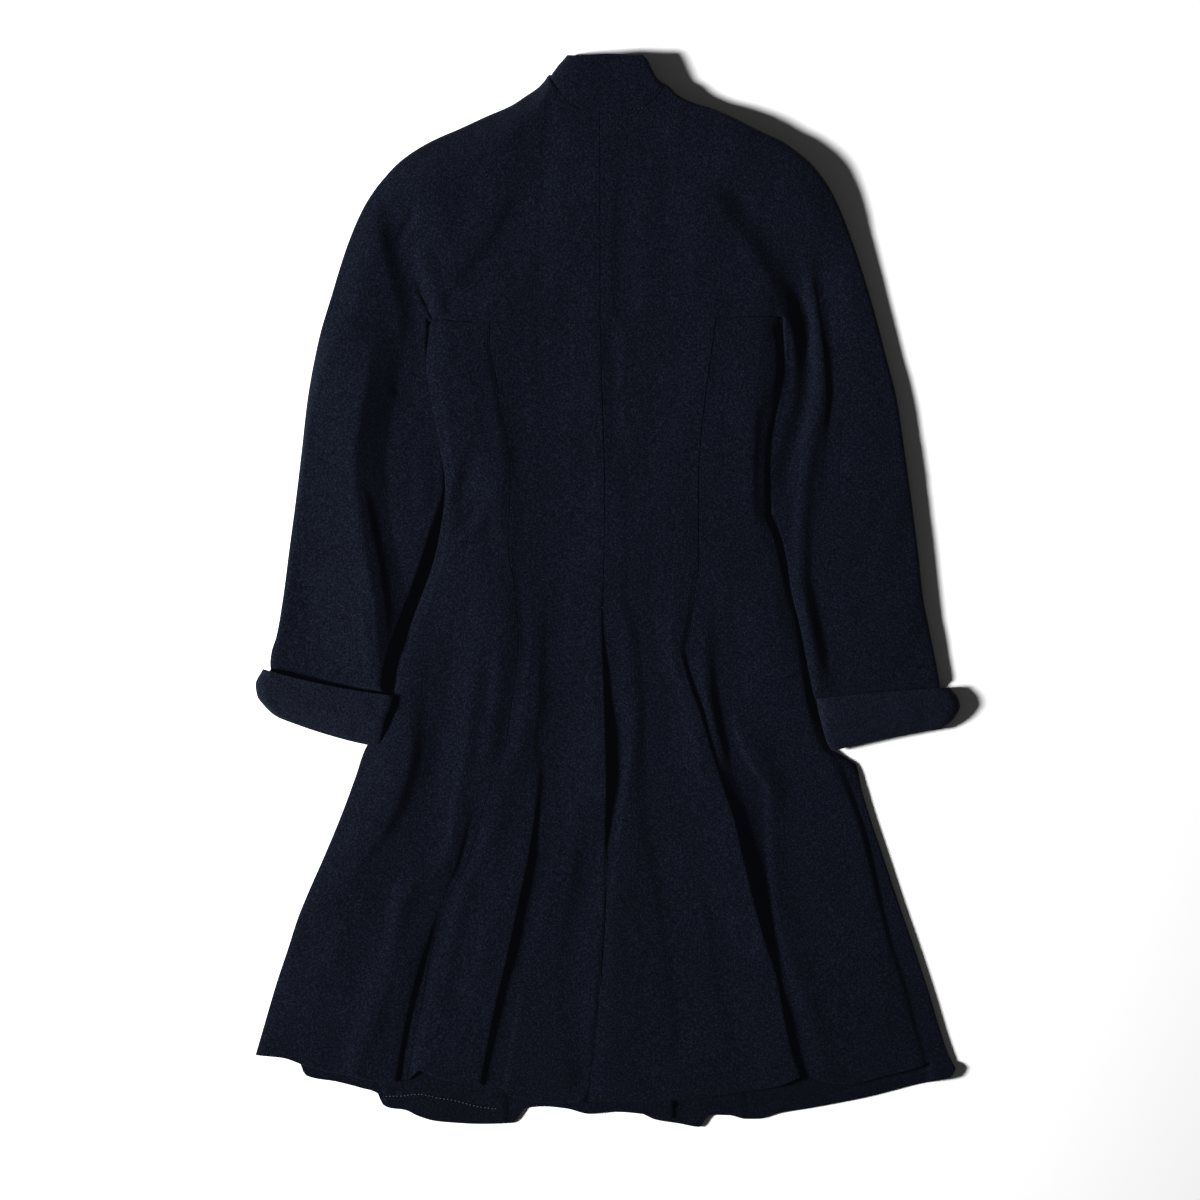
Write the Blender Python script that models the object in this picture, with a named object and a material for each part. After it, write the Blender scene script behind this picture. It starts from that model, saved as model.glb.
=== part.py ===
"""A knee-length princess-line coat in dark navy wool crepe, laid flat, back up.

Sizes are in millimetres on a laying-out board: x runs to the right, y runs down
from above the collar to the hem, z is height above the board. board() turns them
into metres with +Z up, the collar towards +Y and the hem towards -Y.
"left" is the coat's own left, which is also the left of the board.
"""

import bpy
import bmesh
import numpy as np

BOARD_X = 607.3   # board x of the coat's middle
BOARD_Y = 589.4   # board y of the coat's middle
CLOTH = 2.0       # wall of the wool cloth
SEAM = 0.22       # half the gap kept at a sewn seam
LAYER = 0.4       # air between two layers that lie on each other
EDGE_Z = CLOTH + LAYER + CLOTH      # top of the upper layer where it meets the lower one
EYE = 2833.0      # height of the eye over the board point (600, 600)

NAVY = (0.0080, 0.0098, 0.0180, 1.0)
NAVY_LIGHT = (0.0100, 0.0122, 0.0205, 1.0)

# ---------------------------------------------------------------- sections
# yoke seam and neck seam: board x, board y
YOKE_SEAM = [(420, 321.5), (441, 319.8), (464, 321.8), (502, 322.0), (566, 322.8), (604, 322.2),
             (655, 321.0), (675, 319.2), (706, 317.4), (757, 316.4), (790, 317.0)]
NECK_SEAM = [(546, 73), (551, 78), (560, 92), (569, 103), (583, 110), (600, 111.6), (625, 111),
             (645, 107), (656, 98), (665.5, 84), (672, 74)]

# Lines that run down the back from the yoke seam to the hem: crests, valleys and seams.
# columns: name, hem (board y where the line ends), then its course as (y, x)
SIDE_L = [
    ("edge", 1055, [(321, 431), (362, 426), (400, 431), (440, 438), (487, 444), (520, 440), (547, 434), (572, 427),
        (604, 415), (634, 404), (654, 397), (673, 395), (698, 394), (720, 385), (749, 365), (775, 356), (802, 346.2), (830, 335.2),
        (860, 322.5), (890, 309.2), (920, 297), (950, 287.3), (980, 277.2), (1015, 266.8), (1055, 255.5)]),
    ("edge_roll", 1056, [(321, 437), (362, 432), (400, 437), (440, 444), (487, 450), (520, 447), (547, 441), (572, 434),
        (604, 422), (634, 411), (654, 404), (673, 401), (698, 399), (720, 391), (749, 372), (802, 355),
        (844, 337), (887, 319), (928, 302), (971, 288.5), (1015, 275), (1055, 263)]),
    ("side_lobe", 1058, [(321, 443), (400, 446), (487, 456), (547, 449), (600, 431), (640, 419), (700, 412),
        (750, 410), (780, 403), (800, 397), (820, 388), (850, 368), (900, 337), (971, 306), (1055, 283)]),
    ("side_valley", 1066, [(321, 453), (400, 463), (440, 470), (480, 466), (510, 462), (560, 459), (600, 450), (640, 436),
        (690, 429), (730, 427), (770, 421), (810, 409), (840, 390), (870, 368), (900, 358), (950, 340),
        (1000, 325), (1055, 309)]),
    ("second_foot", 1073, [(321, 458), (440, 477), (500, 472), (600, 461), (700, 445), (770, 435), (810, 424), (840, 411),
        (870, 398), (900, 388), (940, 380), (980, 363), (1020, 352), (1055, 340)]),
    ("second_crest", 1076, [(321, 464), (440, 481), (500, 477), (560, 472), (600, 470), (650, 464), (700, 460), (750, 455),
        (800, 449), (840, 443), (868, 430), (895, 407), (915, 399), (940, 394), (960, 391), (1000, 383),
        (1020, 376), (1050, 362), (1075, 353)]),
    ("second_back", 1080, [(321, 470), (440, 485), (500, 484), (560, 482), (600, 482), (650, 477), (700, 473), (750, 467),
        (800, 458), (840, 450.5), (868, 440), (895, 420), (930, 408), (960, 402), (1000, 392), (1020, 386),
        (1050, 374), (1075, 367)]),
    ("inner_valley", 1082, [(321, 477), (380, 479), (440, 488), (500, 487), (540, 490), (580, 497), (610, 496), (640, 491),
        (680, 488), (710, 485), (740, 481), (770, 475), (800, 469), (840, 461), (870, 453), (885, 446),
        (940, 427), (980, 415), (1020, 405.5), (1060, 398.5), (1085, 394)]),
    ("inner_ridge", 1081, [(321, 483), (340, 482), (380, 488), (420, 494), (450, 500), (480, 501), (510, 499), (540, 500),
        (570, 504), (600, 505), (640, 501), (690, 497), (720, 493), (750, 488), (780, 482), (810, 475),
        (835, 469), (870, 459), (885, 450), (940, 431), (980, 419.5), (1020, 410), (1060, 402.5), (1085, 398)]),
    ("princess_seam", 1080, [(321, 490), (340, 490), (380, 497), (420, 504), (445, 509), (470, 511), (500, 510), (540, 509),
        (560, 510), (580, 514), (600, 516), (640, 519), (665, 517), (690, 514), (715, 510), (740, 507),
        (772, 497), (800, 486), (840, 475), (870, 464), (885, 454), (930, 438), (960, 430), (1000, 423),
        (1040, 414), (1083, 407)]),
]
CENTRE_L = [
    ("third_foot", 1077, [(321, 497), (380, 503), (445, 514), (500, 516), (560, 515), (600, 521), (640, 524), (690, 519),
        (740, 512), (772, 503), (800, 493), (840, 481), (870, 469.5), (885, 459), (930, 442.5), (960, 434.5),
        (1000, 427), (1040, 418), (1083, 411)]),
    ("third_crest", 1071, [(321, 506), (445, 521), (500, 523), (560, 524), (600, 529), (640, 532), (690, 528), (745, 520),
        (772, 512), (800, 501), (840, 489), (870, 477), (885, 467), (910, 458), (935, 450), (960, 442),
        (1000, 434), (1040, 425), (1083, 417)]),
    ("third_top", 1080, [(321, 520), (500, 534), (560, 535), (600, 538), (640, 539), (700, 537), (750, 532), (800, 519),
        (850, 507), (900, 490), (950, 473), (1000, 460), (1060, 447)]),
    ("valley_left", 1084, [(321, 532), (500, 540), (580, 541), (640, 542.5), (700, 542), (740, 538.5), (780, 537), (820, 533),
        (860, 527), (900, 518.5), (950, 508), (1000, 496), (1060, 483.5)]),
    ("valley", 1086, [(321, 545), (400, 546), (450, 550), (500, 546), (580, 547), (640, 547), (690, 549), (720, 548.5),
        (750, 546.5), (790, 543), (828, 537.5), (860, 532), (882, 527.5), (900, 523.5), (930, 517.5),
        (956, 511.5), (984, 505), (1008, 498.5), (1034, 494), (1056, 489.5), (1077, 486)]),
    ("fourth_foot", 1088, [(321, 556), (500, 560), (580, 560), (700, 560), (760, 557), (800, 555), (839, 552), (865, 547),
        (898, 539), (934, 531), (973, 521.5), (1006, 515), (1038, 509), (1071, 504)]),
    ("fourth_crest", 1095, [(321, 566), (500, 570), (580, 571), (700, 572), (760, 569), (800, 565), (839, 561), (865, 556),
        (898, 548), (934, 540), (973, 530), (1006, 523), (1038, 517), (1071, 512)]),
    ("soft_valley", 1103, [(321, 580), (500, 583), (580, 583), (640, 584), (700, 586), (800, 585), (860, 580), (891, 577),
        (921, 572), (956, 568), (1030, 562), (1100, 556)]),
    ("back_lobe", 1103, [(321, 590), (560, 593), (600, 592), (640, 593), (700, 595), (800, 597), (900, 593), (960, 588),
        (1000, 582), (1040, 577), (1090, 573)]),
    ("back_crest", 1102, [(321, 597), (438, 600.5), (499, 602), (560, 601), (600, 600), (640, 601), (680, 603), (740, 605),
        (780, 606), (820, 605), (850, 604), (880, 603), (920, 602), (960, 599), (1000, 595), (1040, 590),
        (1090, 584)]),
    ("back_seam", 1101, [(321, 600.5), (438, 603.5), (499, 605), (560, 604), (606, 603), (640, 604.5), (680, 607), (740, 609.5),
        (780, 610.5), (820, 609.5), (850, 608), (880, 606.8), (920, 605), (960, 602.5), (1000, 599),
        (1040, 594.5), (1090, 589)]),
]
CENTRE_R = [
    ("pleat_floor", 1101, [(321, 606), (438, 608), (499, 610), (560, 609.5), (600, 607.5), (620, 608), (660, 613), (700, 617),
        (740, 621), (765, 621), (790, 619), (820, 616.5), (850, 613), (870, 611), (900, 609), (960, 606.5),
        (1000, 603.5), (1090, 595)]),
    ("fifth_crest", 1102, [(321, 619), (560, 620), (600, 617), (625, 625), (650, 630), (680, 634), (720, 635), (750, 633),
        (780, 629), (810, 625), (840, 620), (870, 618), (900, 617), (960, 616), (1090, 614)]),
    ("fifth_valley", 1099, [(321, 636), (440, 629), (500, 630), (585, 630), (620, 637), (645, 642), (690, 646), (740, 647.5),
        (770, 648), (800, 651), (840, 656), (870, 661), (900, 665), (930, 671), (960, 675), (985, 681),
        (1005, 686), (1055, 690)]),
    ("sixth_crest", 1096, [(321, 655), (560, 652), (600, 650), (645, 656), (690, 662), (740, 666), (800, 675), (840, 682),
        (900, 691), (960, 703), (1005, 711), (1055, 715)]),
    ("sixth_soft", 1092, [(321, 672), (560, 668), (640, 664.5), (700, 677), (780, 695), (880, 713), (920, 718), (950, 723),
        (975, 727), (1010, 733), (1055, 739)]),
    ("seventh_top", 1086, [(321, 690), (443, 684), (560, 684), (600, 679), (648, 672), (690, 684), (715, 692), (770, 706),
        (850, 729), (905, 742), (970, 758), (1055, 774)]),
    ("seventh_crest", 1078, [(321, 705), (443, 693), (530, 692), (565, 691), (590, 689), (610, 687), (635, 682.5), (648, 679),
        (665, 683), (690, 691), (715, 700), (740, 707), (770, 716), (795, 725), (820, 734), (850, 741),
        (875, 747), (905, 754), (930, 761), (950, 767), (970, 774), (1000, 780), (1030, 786), (1055, 792),
        (1073, 798)]),
    ("princess_seam", 1077, [(321, 716), (410, 704), (443, 700.5), (480, 698.5), (530, 698.5), (560, 699), (590, 695.5), (610, 693),
        (635, 689), (648, 686), (665, 688.5), (690, 696), (715, 705), (740, 712), (770, 721), (795, 730),
        (820, 739), (850, 746), (875, 752), (905, 759), (930, 766), (950, 772), (970, 778.5), (1000, 785),
        (1030, 791), (1055, 797), (1073, 803)]),
]
SIDE_R = [
    ("thin_ridge", 1077, [(321, 723), (410, 711), (480, 706), (560, 706), (600, 703.5), (650, 705), (690, 707.5), (720, 712.5),
        (750, 720), (775, 727.5), (800, 736.5), (850, 751), (905, 763.5), (950, 776), (1000, 789),
        (1055, 801.5), (1077, 807.5)]),
    ("hidden_valley", 1078, [(321, 731), (480, 714), (560, 715), (590, 716), (620, 717.5), (660, 717.5), (700, 720), (730, 725),
        (760, 733), (790, 742), (815, 750), (850, 757.5), (905, 767), (950, 779), (1000, 793), (1055, 806.5),
        (1077, 812.5)]),
    ("eighth_foot", 1080, [(321, 738), (480, 722), (560, 723), (620, 724), (700, 727), (735, 732), (755, 740), (775, 751.5),
        (788, 762), (820, 763.5), (860, 765), (890, 768), (920, 773), (945, 779.5), (1000, 798), (1055, 812)]),
    ("eighth_crest", 1083, [(321, 746), (480, 732), (560, 733), (620, 734), (700, 738), (735, 742), (755, 750), (775, 761),
        (788, 770.5), (820, 771.5), (860, 773), (890, 775.5), (920, 780), (945, 787), (1000, 805), (1055, 822)]),
    ("small_valley", 1084, [(321, 754), (480, 741), (560, 746), (640, 755), (700, 765), (720, 771), (740, 778), (765, 784),
        (785, 791), (800, 791), (830, 787), (850, 787), (870, 791), (895, 797), (912, 803), (950, 813),
        (1000, 824), (1055, 842)]),
    ("side_plain", 1077, [(321, 762), (416, 753), (499, 751), (560, 767), (640, 778), (700, 789), (740, 801), (785, 815),
        (850, 826), (900, 838), (1000, 862), (1055, 876)]),
    ("edge_crest", 1066, [(321, 769), (341, 774), (366, 776), (390, 771), (416, 762.5), (466, 759), (499, 758.5), (511, 760),
        (529, 770), (560, 778), (605, 786), (650, 796), (700, 804), (725, 811), (745, 818), (757, 829),
        (787, 843), (827, 858), (870, 869), (907, 877.5), (945, 887), (988, 901), (1020, 909.5), (1055, 919)]),
    ("edge_step", 1063, [(321, 775), (341, 780.5), (366, 781.5), (390, 779), (416, 772.5), (450, 767), (482, 766), (511, 767.5),
        (525, 772), (540, 779), (560, 784), (605, 793), (650, 803), (700, 811), (725, 817.5), (745, 824),
        (757, 836), (764, 842), (787, 851), (827, 865), (870, 875.5), (907, 884), (945, 894), (988, 908),
        (1020, 916), (1055, 926)]),
    ("edge", 1068, [(321, 779), (343, 785), (366, 786), (390, 783.5), (412, 778.5), (430, 773), (450, 771), (482, 770),
        (510, 771.5), (525, 776), (540, 783), (560, 788), (580, 791.5), (605, 797), (625, 801.5), (650, 807),
        (675, 811), (700, 814.5), (725, 820.5), (745, 826.5), (757, 840), (764, 851), (787, 859.5),
        (808, 865.5), (859, 882.5), (907, 898.5), (953, 914.5), (993, 927.5), (1036, 940.5), (1068, 951.5)]),
]

# Height of the top face on each of those lines, at places down the back: y, then one number a line
SECTIONS = [
    (321, (8, 11, 12.4, 12.8, 12.6, 12.4, 12.2, 12, 11.8, 11.5), (11.2, 10.9, 10.7, 10.6, 10.6, 10.8, 11.1, 11.5, 11.8, 12, 12),
     (11.9, 11.7, 11.8, 12.2, 13, 14.2, 15.2, 15.9), (16.2, 16.7, 17.1, 17.4, 17.6, 17.4, 16.4, 14.6, 12)),
    (360, (9.8, 12.5, 15, 15.4, 15.3, 14.8, 14.3, 13.8, 12.8, 10.9), (9.9, 8.9, 8.4, 8.1, 7.8, 8.1, 8.8, 9.8, 10.5, 11, 10.9),
     (10.9, 10, 9.9, 10.8, 12, 13.4, 14.4, 15.2), (15.4, 16, 16.5, 17.2, 18, 18.6, 15.4, 9, 3.2)),
    (440, (10, 12.6, 15, 15.4, 14.9, 14.5, 14.2, 14.1, 14.3, 11.7), (10.1, 9, 8.3, 7.9, 7.4, 7.6, 8.4, 9.3, 10, 10.6, 10.7),
     (10.8, 10.2, 9.4, 9.2, 10.4, 12, 12.8, 13.3), (13.8, 14.6, 15.2, 16.2, 17.2, 17.8, 14, 10, 3.2)),
    (500, (6, 11, 11, 9.6, 9, 9.6, 10.5, 11.2, 12.6, 10.4), (9.2, 8.1, 7.7, 7.5, 7.5, 7.8, 8.2, 9.2, 10.3, 11.5, 11.7),
     (12, 12.5, 12, 12.6, 13.6, 14.2, 14.6, 14.8), (14.8, 15.2, 15.6, 16.2, 17, 17.6, 14.5, 10.5, 3.2)),
    (560, (3, 9.5, 11.5, 13, 13.5, 14.2, 14.6, 14, 13.7, 13.3), (12.2, 11, 9.9, 9.4, 9, 9.3, 10.2, 11.5, 12.8, 13.9, 14.2),
     (14.5, 15, 14.5, 14.4, 15.4, 16, 15.8, 15.4), (15.6, 15.8, 15.8, 15.6, 15.2, 15.4, 14.2, 8, 3.2)),
    (620, (3, 9.5, 11, 11.4, 12.4, 13.4, 15.4, 16, 16.2, 13.4), (12.3, 12.7, 12, 11.5, 10.3, 9.5, 10.6, 12, 13.4, 14, 12.6),
     (12.4, 12.9, 10.2, 9.6, 10.9, 12.2, 11.6, 9.6), (9.8, 8.6, 8.8, 9.4, 12.2, 13.6, 11.6, 8, 3.2)),
    (700, (5, 5.6, 12.4, 9.4, 8.8, 12, 15.3, 13.8, 15.6, 12.4), (12.8, 14.3, 14, 12.2, 9.6, 8.6, 9.4, 11.8, 13.7, 14.3, 8.4),
     (7.8, 10.2, 7.8, 7.6, 9, 11.6, 12.2, 8.6), (11.6, 6, 5.6, 6.4, 9.2, 10.6, 11, 6.8, 3.4)),
    (740, (5, 5.4, 18, 11.4, 8.8, 11.2, 14.8, 13.8, 14.8, 11.4), (12, 13.8, 12, 10, 8.2, 7.6, 8.8, 12, 14.4, 15.6, 6.8),
     (7, 9.8, 7, 7, 9.8, 12.8, 13.2, 10.6), (10.9, 5.4, 5, 8.4, 6.2, 8, 9.6, 7.4, 5.4)),
    (780, (3, 8.5, 21.5, 14, 10.8, 13.2, 15.8, 14.6, 15, 15.6), (16, 16.2, 14, 12.6, 9.4, 8.4, 9.6, 12.6, 14.6, 15.6, 6.8),
     (7, 10, 7.2, 8.2, 11, 13.6, 14.2, 11), (8.6, 5.8, 5, 8.8, 5.6, 7.4, 10.6, 8.4, 8)),
    (820, (3, 9, 19.5, 13.4, 11.6, 13.2, 16, 14.6, 12.2, 12.8), (14, 15.2, 12.8, 12.6, 8.8, 8.2, 9, 12.2, 12.6, 12.4, 7),
     (7.6, 9.8, 7, 8.2, 11.4, 15, 17.5, 10), (8.6, 7, 5, 6.4, 5.4, 7, 11, 8.4, 8.6)),
    (860, (3, 9, 15, 13, 11.8, 13, 15, 13, 9.8, 10.2), (11.2, 12.8, 12.6, 14, 8.4, 6.8, 8, 9.2, 9.2, 9.6, 7.2),
     (7.6, 9, 7.2, 8.8, 12, 16, 18, 8.5), (6.6, 5.4, 4.6, 6.6, 5.2, 6.8, 11, 8.4, 9)),
    (900, (3, 9.5, 13.5, 13.6, 10.8, 14.4, 11.6, 9.2, 8.4, 8), (8.4, 10, 12.2, 14.2, 8, 6.4, 7.8, 7.8, 8.6, 9, 7.8),
     (8.6, 9.8, 7.4, 8, 10.8, 14.4, 16.2, 8), (6, 4.8, 4.4, 6.6, 5.2, 6.6, 10.8, 8.2, 9)),
    (940, (3, 7, 9.4, 12.6, 14, 18, 16.6, 12.6, 9, 7.6), (7.8, 9.8, 12, 14.2, 7.6, 6, 7.2, 6.8, 8, 7.8, 7.2),
     (7.9, 9, 7.2, 7.4, 8.4, 11, 12.8, 6), (5.2, 4.6, 5, 7, 5.6, 6.4, 10.4, 8, 9)),
    (980, (3, 7, 9.6, 11.6, 12.4, 18, 17.2, 13.4, 7.4, 6.8), (7.6, 9.6, 11.4, 13.6, 6.8, 5.8, 6.8, 6.8, 7.8, 8.2, 7.4),
     (7.9, 9.4, 7, 7, 7.4, 8.8, 9, 6.2), (5.8, 5.6, 6.4, 7.4, 6, 6.6, 10, 7.8, 8.8)),
    (1020, (3, 7, 9, 10.8, 11.4, 17.6, 16.8, 12.8, 7, 6.6), (7.4, 9.8, 11, 13.4, 7, 5.6, 7.4, 7, 7.8, 8.6, 7),
     (7.5, 8.6, 6.8, 6.8, 7, 9.8, 11.6, 5.8), (5.2, 5, 5.8, 7.2, 6, 6.6, 9.6, 7.6, 8.6)),
    (1060, (3, 7, 8.8, 10.6, 11, 16.6, 15, 12.4, 6.6, 6.6), (8.2, 10.2, 10.4, 12.4, 6.6, 5.6, 7.4, 7, 7.6, 8.6, 6.7),
     (7.6, 8.6, 6.8, 6.6, 6.8, 9.6, 11.2, 5.6), (5.2, 5.4, 6, 7, 6, 7, 8.8, 7.4, 8)),
]

BODY_ROWS = [321, 341, 362, 390, 416, 445, 475, 505, 528, 552, 578, 604, 636, 668, 700, 726, 750, 775, 802,
             838, 872, 900, 945, 990, 1035, 1076]

# Yoke cut in one with the sleeve. Each row is a line across it, from the shoulder and over-arm
# edge to the yoke seam and then the under-arm edge.
# columns: outer x, outer y, inner x, inner y, height near the outer edge, height near the inner
# edge, width of the outer roll (0: sewn, no roll), width of the inner roll (0: yoke seam)
SLEEVE_L = [
    (600, 111.6, 600.5, 322, 22, 12, 0, 0), (583, 110, 576, 322, 21.8, 12, 0, 0), (569, 103, 556, 322, 21.4, 12, 0, 0),
    (560, 92, 543, 322, 20.8, 12, 0, 0), (550.5, 76, 534, 322, 19.8, 12, 18, 0), (544.8, 81.6, 528, 322, 20, 12, 22, 0), (537.5, 88, 523, 322, 20, 12, 26, 0),
    (526, 95.8, 517, 322, 20.2, 12, 29, 0), (512, 105, 508, 322, 21, 12, 32, 0), (487, 116, 486, 322, 21, 12, 40, 0),
    (461, 128, 472, 321.7, 20.6, 12, 46, 0), (431.5, 141, 458, 321.5, 20, 12.4, 46, 0), (410.5, 153.4, 450, 321.5, 19.6, 12.6, 46, 0),
    (397.5, 163.6, 445, 321.5, 19, 12.6, 44, 0), (384, 178, 439, 321.5, 18.5, 12.6, 42, 0), (374.5, 190, 434, 321.5, 18, 12.6, 40, 0),
    (363.5, 207.5, 429.2, 321.5, 17.6, 12.6, 38, 8), (347, 246, 428, 345, 17, 9.6, 36, 6), (331.3, 296, 431, 375, 16, 8.4, 32, 5),
    (319, 338, 436, 405, 14.4, 8, 20, 5), (307.3, 400, 442, 440, 11, 8, 10, 5), (301.6, 450, 445, 484, 9, 8.4, 7, 6),
    (295.6, 500, 430, 532, 8.4, 10.5, 6, 8), (289, 550, 417.5, 569, 8.4, 10.5, 6, 8), (282.5, 600, 403, 611, 8.4, 9.6, 6, 8),
    (276, 637, 390.5, 645, 8, 9, 6, 8), (271.5, 651, 388.5, 663, 7.6, 8.8, 6, 8), (270, 664, 387, 686, 7.2, 8.4, 6, 8),
    (270.6, 669.5, 386.5, 692, 7, 8.3, 6, 8), (271.5, 675, 376.5, 698, 6.8, 8.2, 6, 8), (274.5, 692, 362, 713, 6.6, 8, 6, 8),
]
SLEEVE_R = [
    (600, 111.6, 600.5, 322, 22, 12, 0, 0), (625, 111, 624, 322, 22.6, 12, 0, 0), (645, 107, 648, 321, 23.2, 12.2, 0, 0),
    (656, 98, 659, 320.6, 23.8, 12.6, 0, 0), (665.5, 84.4, 668, 320, 24.4, 13, 3, 0), (678, 95, 678, 319.3, 25, 13.6, 3, 0),
    (686, 99.4, 686, 319, 25.4, 14.2, 3, 0), (698, 104.2, 695, 318.4, 26.4, 15, 3, 0), (710, 107.6, 705, 317.9, 27.4, 15.8, 3, 0),
    (728, 114.8, 718, 317.3, 28.6, 16.6, 3, 0), (767, 134.3, 740, 316.8, 29.4, 18, 3, 0), (781, 140.5, 748, 316.6, 28.4, 18.4, 3, 0),
    (797, 151.5, 757, 316.4, 27, 18.6, 3, 0), (811, 163.5, 764, 316.4, 25.6, 18.6, 3, 0), (822, 176.5, 770, 316.6, 24, 18, 3, 0),
    (831, 190.5, 775.5, 316.6, 22.6, 17, 3, 0), (840, 209, 780.5, 316.8, 20, 14, 3, 0), (852, 240, 783, 323, 17, 12.4, 3, 4),
    (862, 270, 782.5, 345, 15.4, 9.6, 3, 5), (874, 310, 782, 368, 14.4, 8, 3, 5), (886, 356, 778.5, 391, 14, 8, 3, 5),
    (897, 400, 772, 420, 14, 8, 3, 5), (904.5, 450, 765.5, 458, 14, 8, 3, 6), (911.5, 500, 767, 506, 14, 8.6, 3, 8), (918.5, 555, 782, 548, 14, 10, 3, 6),
    (923.5, 600, 790, 592, 13.6, 10.6, 3, 6), (929.5, 630, 799, 626, 13, 11, 3, 6), (934.5, 655, 806, 663, 12, 10.6, 3, 8),
    (938.5, 676, 812, 690, 11.4, 10, 3, 8), (939.4, 685.5, 826, 696.2, 11.2, 10.2, 3, 8), (940, 692, 835, 702, 11, 10, 3, 8), (940, 706, 846, 717, 11, 10, 3, 8),
]
SLEEVE_COLUMNS = [0, .02, .06, .13, .22, .34, .46, .58, .69, .79, .87, .93, .975, 1]

# Largest folds of the yoke and sleeves. A tent has straight sides; the rest are rounded.
# columns: name, height, half width on the left, half width on the right, fade in, fade out, path of (x, y)
SLEEVE_FOLDS = [
    ("left_armpit_drag", -6.6, 20, 64, .3, .3, [(391, 196), (396, 230), (401, 255), (406, 282), (409, 305), (412, 340)]),
    ("left_armpit_ridge", 3.4, 10, 16, .3, .15, [(418, 242), (424, 262), (430, 285), (434, 304), (436, 320)]),
    ("left_yoke_drag", -3.2, 14, 46, .3, .2, [(524, 178), (514, 214), (498, 246), (474, 274), (456, 296), (452, 318)]),
    ("left_sleeve_tent", 17.0, 66, 50, .25, .04, [(376, 322), (363, 400), (355, 450), (359, 500), (367, 550), (375, 600), (379, 640), (381, 700)]),
    ("right_yoke_drag", -7.0, 22, 66, .3, .1, [(716, 172), (734, 202), (752, 226), (772, 252), (792, 284), (804, 318)]),
    ("right_armpit", -4.5, 22, 24, .15, .25, [(778, 262), (790, 292), (790, 322), (789, 345), (790, 372), (787, 400), (781, 436), (777, 470), (776, 500)]),
    ("right_inner_ridge", 3.8, 13, 12, .2, .1, [(804, 244), (809, 285), (814, 310), (818, 336), (821, 372), (819, 396), (815, 420), (810, 448), (805, 480), (802, 516), (801, 545), (801, 580), (808, 612), (815, 645), (822, 692)]),
    ("right_outer_valley", -2.4, 6, 34, .2, .4, [(815, 262), (821, 305), (828, 350), (832, 395), (829, 440), (824, 480), (819, 520)]),
    ("right_wrist_shade", -3.0, 12, 34, .35, .35, [(812, 575), (817, 610), (824, 645), (832, 682)]),
]

# Turned-back cuffs. Rows from the free edge to the fold at the wrist.
# columns: share of the way, left x, left y, right x, right y, thickness, lift of the inner end
CUFF_L = [(0, 263, 669, 396, 696, 17, 3.4), (.25, 255.5, 684, 393.5, 707, 18, 4.5), (.5, 257, 695, 388.5, 717, 18, 6.5),
          (.75, 265, 706, 385, 728, 17.5, 8), (.92, 273, 713.5, 381.5, 740, 15.5, 8), (1, 279, 717, 378.5, 747, 13, 7.6)]
CUFF_R = [(0, 816.5, 699, 949, 687.5, 17, 2), (.25, 818.5, 712, 958, 698, 18, 3), (.5, 821.5, 724, 960, 706, 18, 4.5),
          (.75, 825, 736, 956, 715, 17.5, 6), (.92, 828.5, 745, 949, 723, 15.5, 6.5), (1, 832.5, 751, 941, 728.5, 13, 6)]
CUFF_BOW = 3.0    # how far the cuff's edges bow down in the middle

FRONT_HEM_L = [(300, 1066), (306, 1075), (338, 1082), (379, 1094), (390, 1108), (418, 1116), (457, 1123),
               (500, 1124.5), (524, 1112), (566, 1109), (590, 1114), (642, 1114), (672, 1120)]
FRONT_HEM_R = [(572, 1100), (600, 1104), (642, 1114), (679, 1123), (700, 1126), (716, 1115.5), (757, 1119),
               (811, 1108), (867, 1097), (921, 1082), (957, 1077)]
FRONT_EDGE_R = [(318, 777), (343, 783), (366, 784), (390, 781.5), (412, 776), (430, 771), (482, 768), (510, 769),
                (525, 774), (540, 781), (560, 786), (605, 795), (650, 805), (700, 812.5), (725, 818.5), (745, 825),
                (757, 842), (764, 853), (787, 861), (808, 867), (859, 884), (907, 900), (953, 916), (993, 929),
                (1036, 942), (1068, 953), (1080, 957)]


# ---------------------------------------------------------------- form
def pchip(xs, ys, x):
    """Smooth curve through (xs, ys) that never overshoots, read at x."""
    xs, ys, x = np.asarray(xs, float), np.asarray(ys, float), np.asarray(x, float)
    h = np.diff(xs)
    d = np.diff(ys) / h
    m = np.zeros_like(ys)
    m[0], m[-1] = d[0], d[-1]
    if len(xs) > 2:
        same = d[:-1] * d[1:] > 0
        a, b = np.where(same, d[:-1], 1), np.where(same, d[1:], 1)
        w1, w2 = 2 * h[1:] + h[:-1], h[1:] + 2 * h[:-1]
        m[1:-1] = np.where(same, (w1 + w2) / (w1 / a + w2 / b), 0)
    i = np.clip(np.searchsorted(xs, x) - 1, 0, len(h) - 1)
    t = np.clip((x - xs[i]) / h[i], 0, 1)
    t2, t3 = t * t, t * t * t
    return ((2 * t3 - 3 * t2 + 1) * ys[i] + (t3 - 2 * t2 + t) * h[i] * m[i]
            + (3 * t2 - 2 * t3) * ys[i + 1] + (t3 - t2) * h[i] * m[i + 1])


def along(table, x):
    return pchip([r[0] for r in table], [r[1] for r in table], x)


def smooth(t):
    t = np.clip(t, 0, 1)
    return t * t * (3 - 2 * t)


def roll(t):
    """Quarter of an ellipse: 0 at the edge, 1 where the roll ends."""
    t = np.clip(t, 0, 1)
    return np.sqrt(1 - (1 - t) ** 2)


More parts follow.
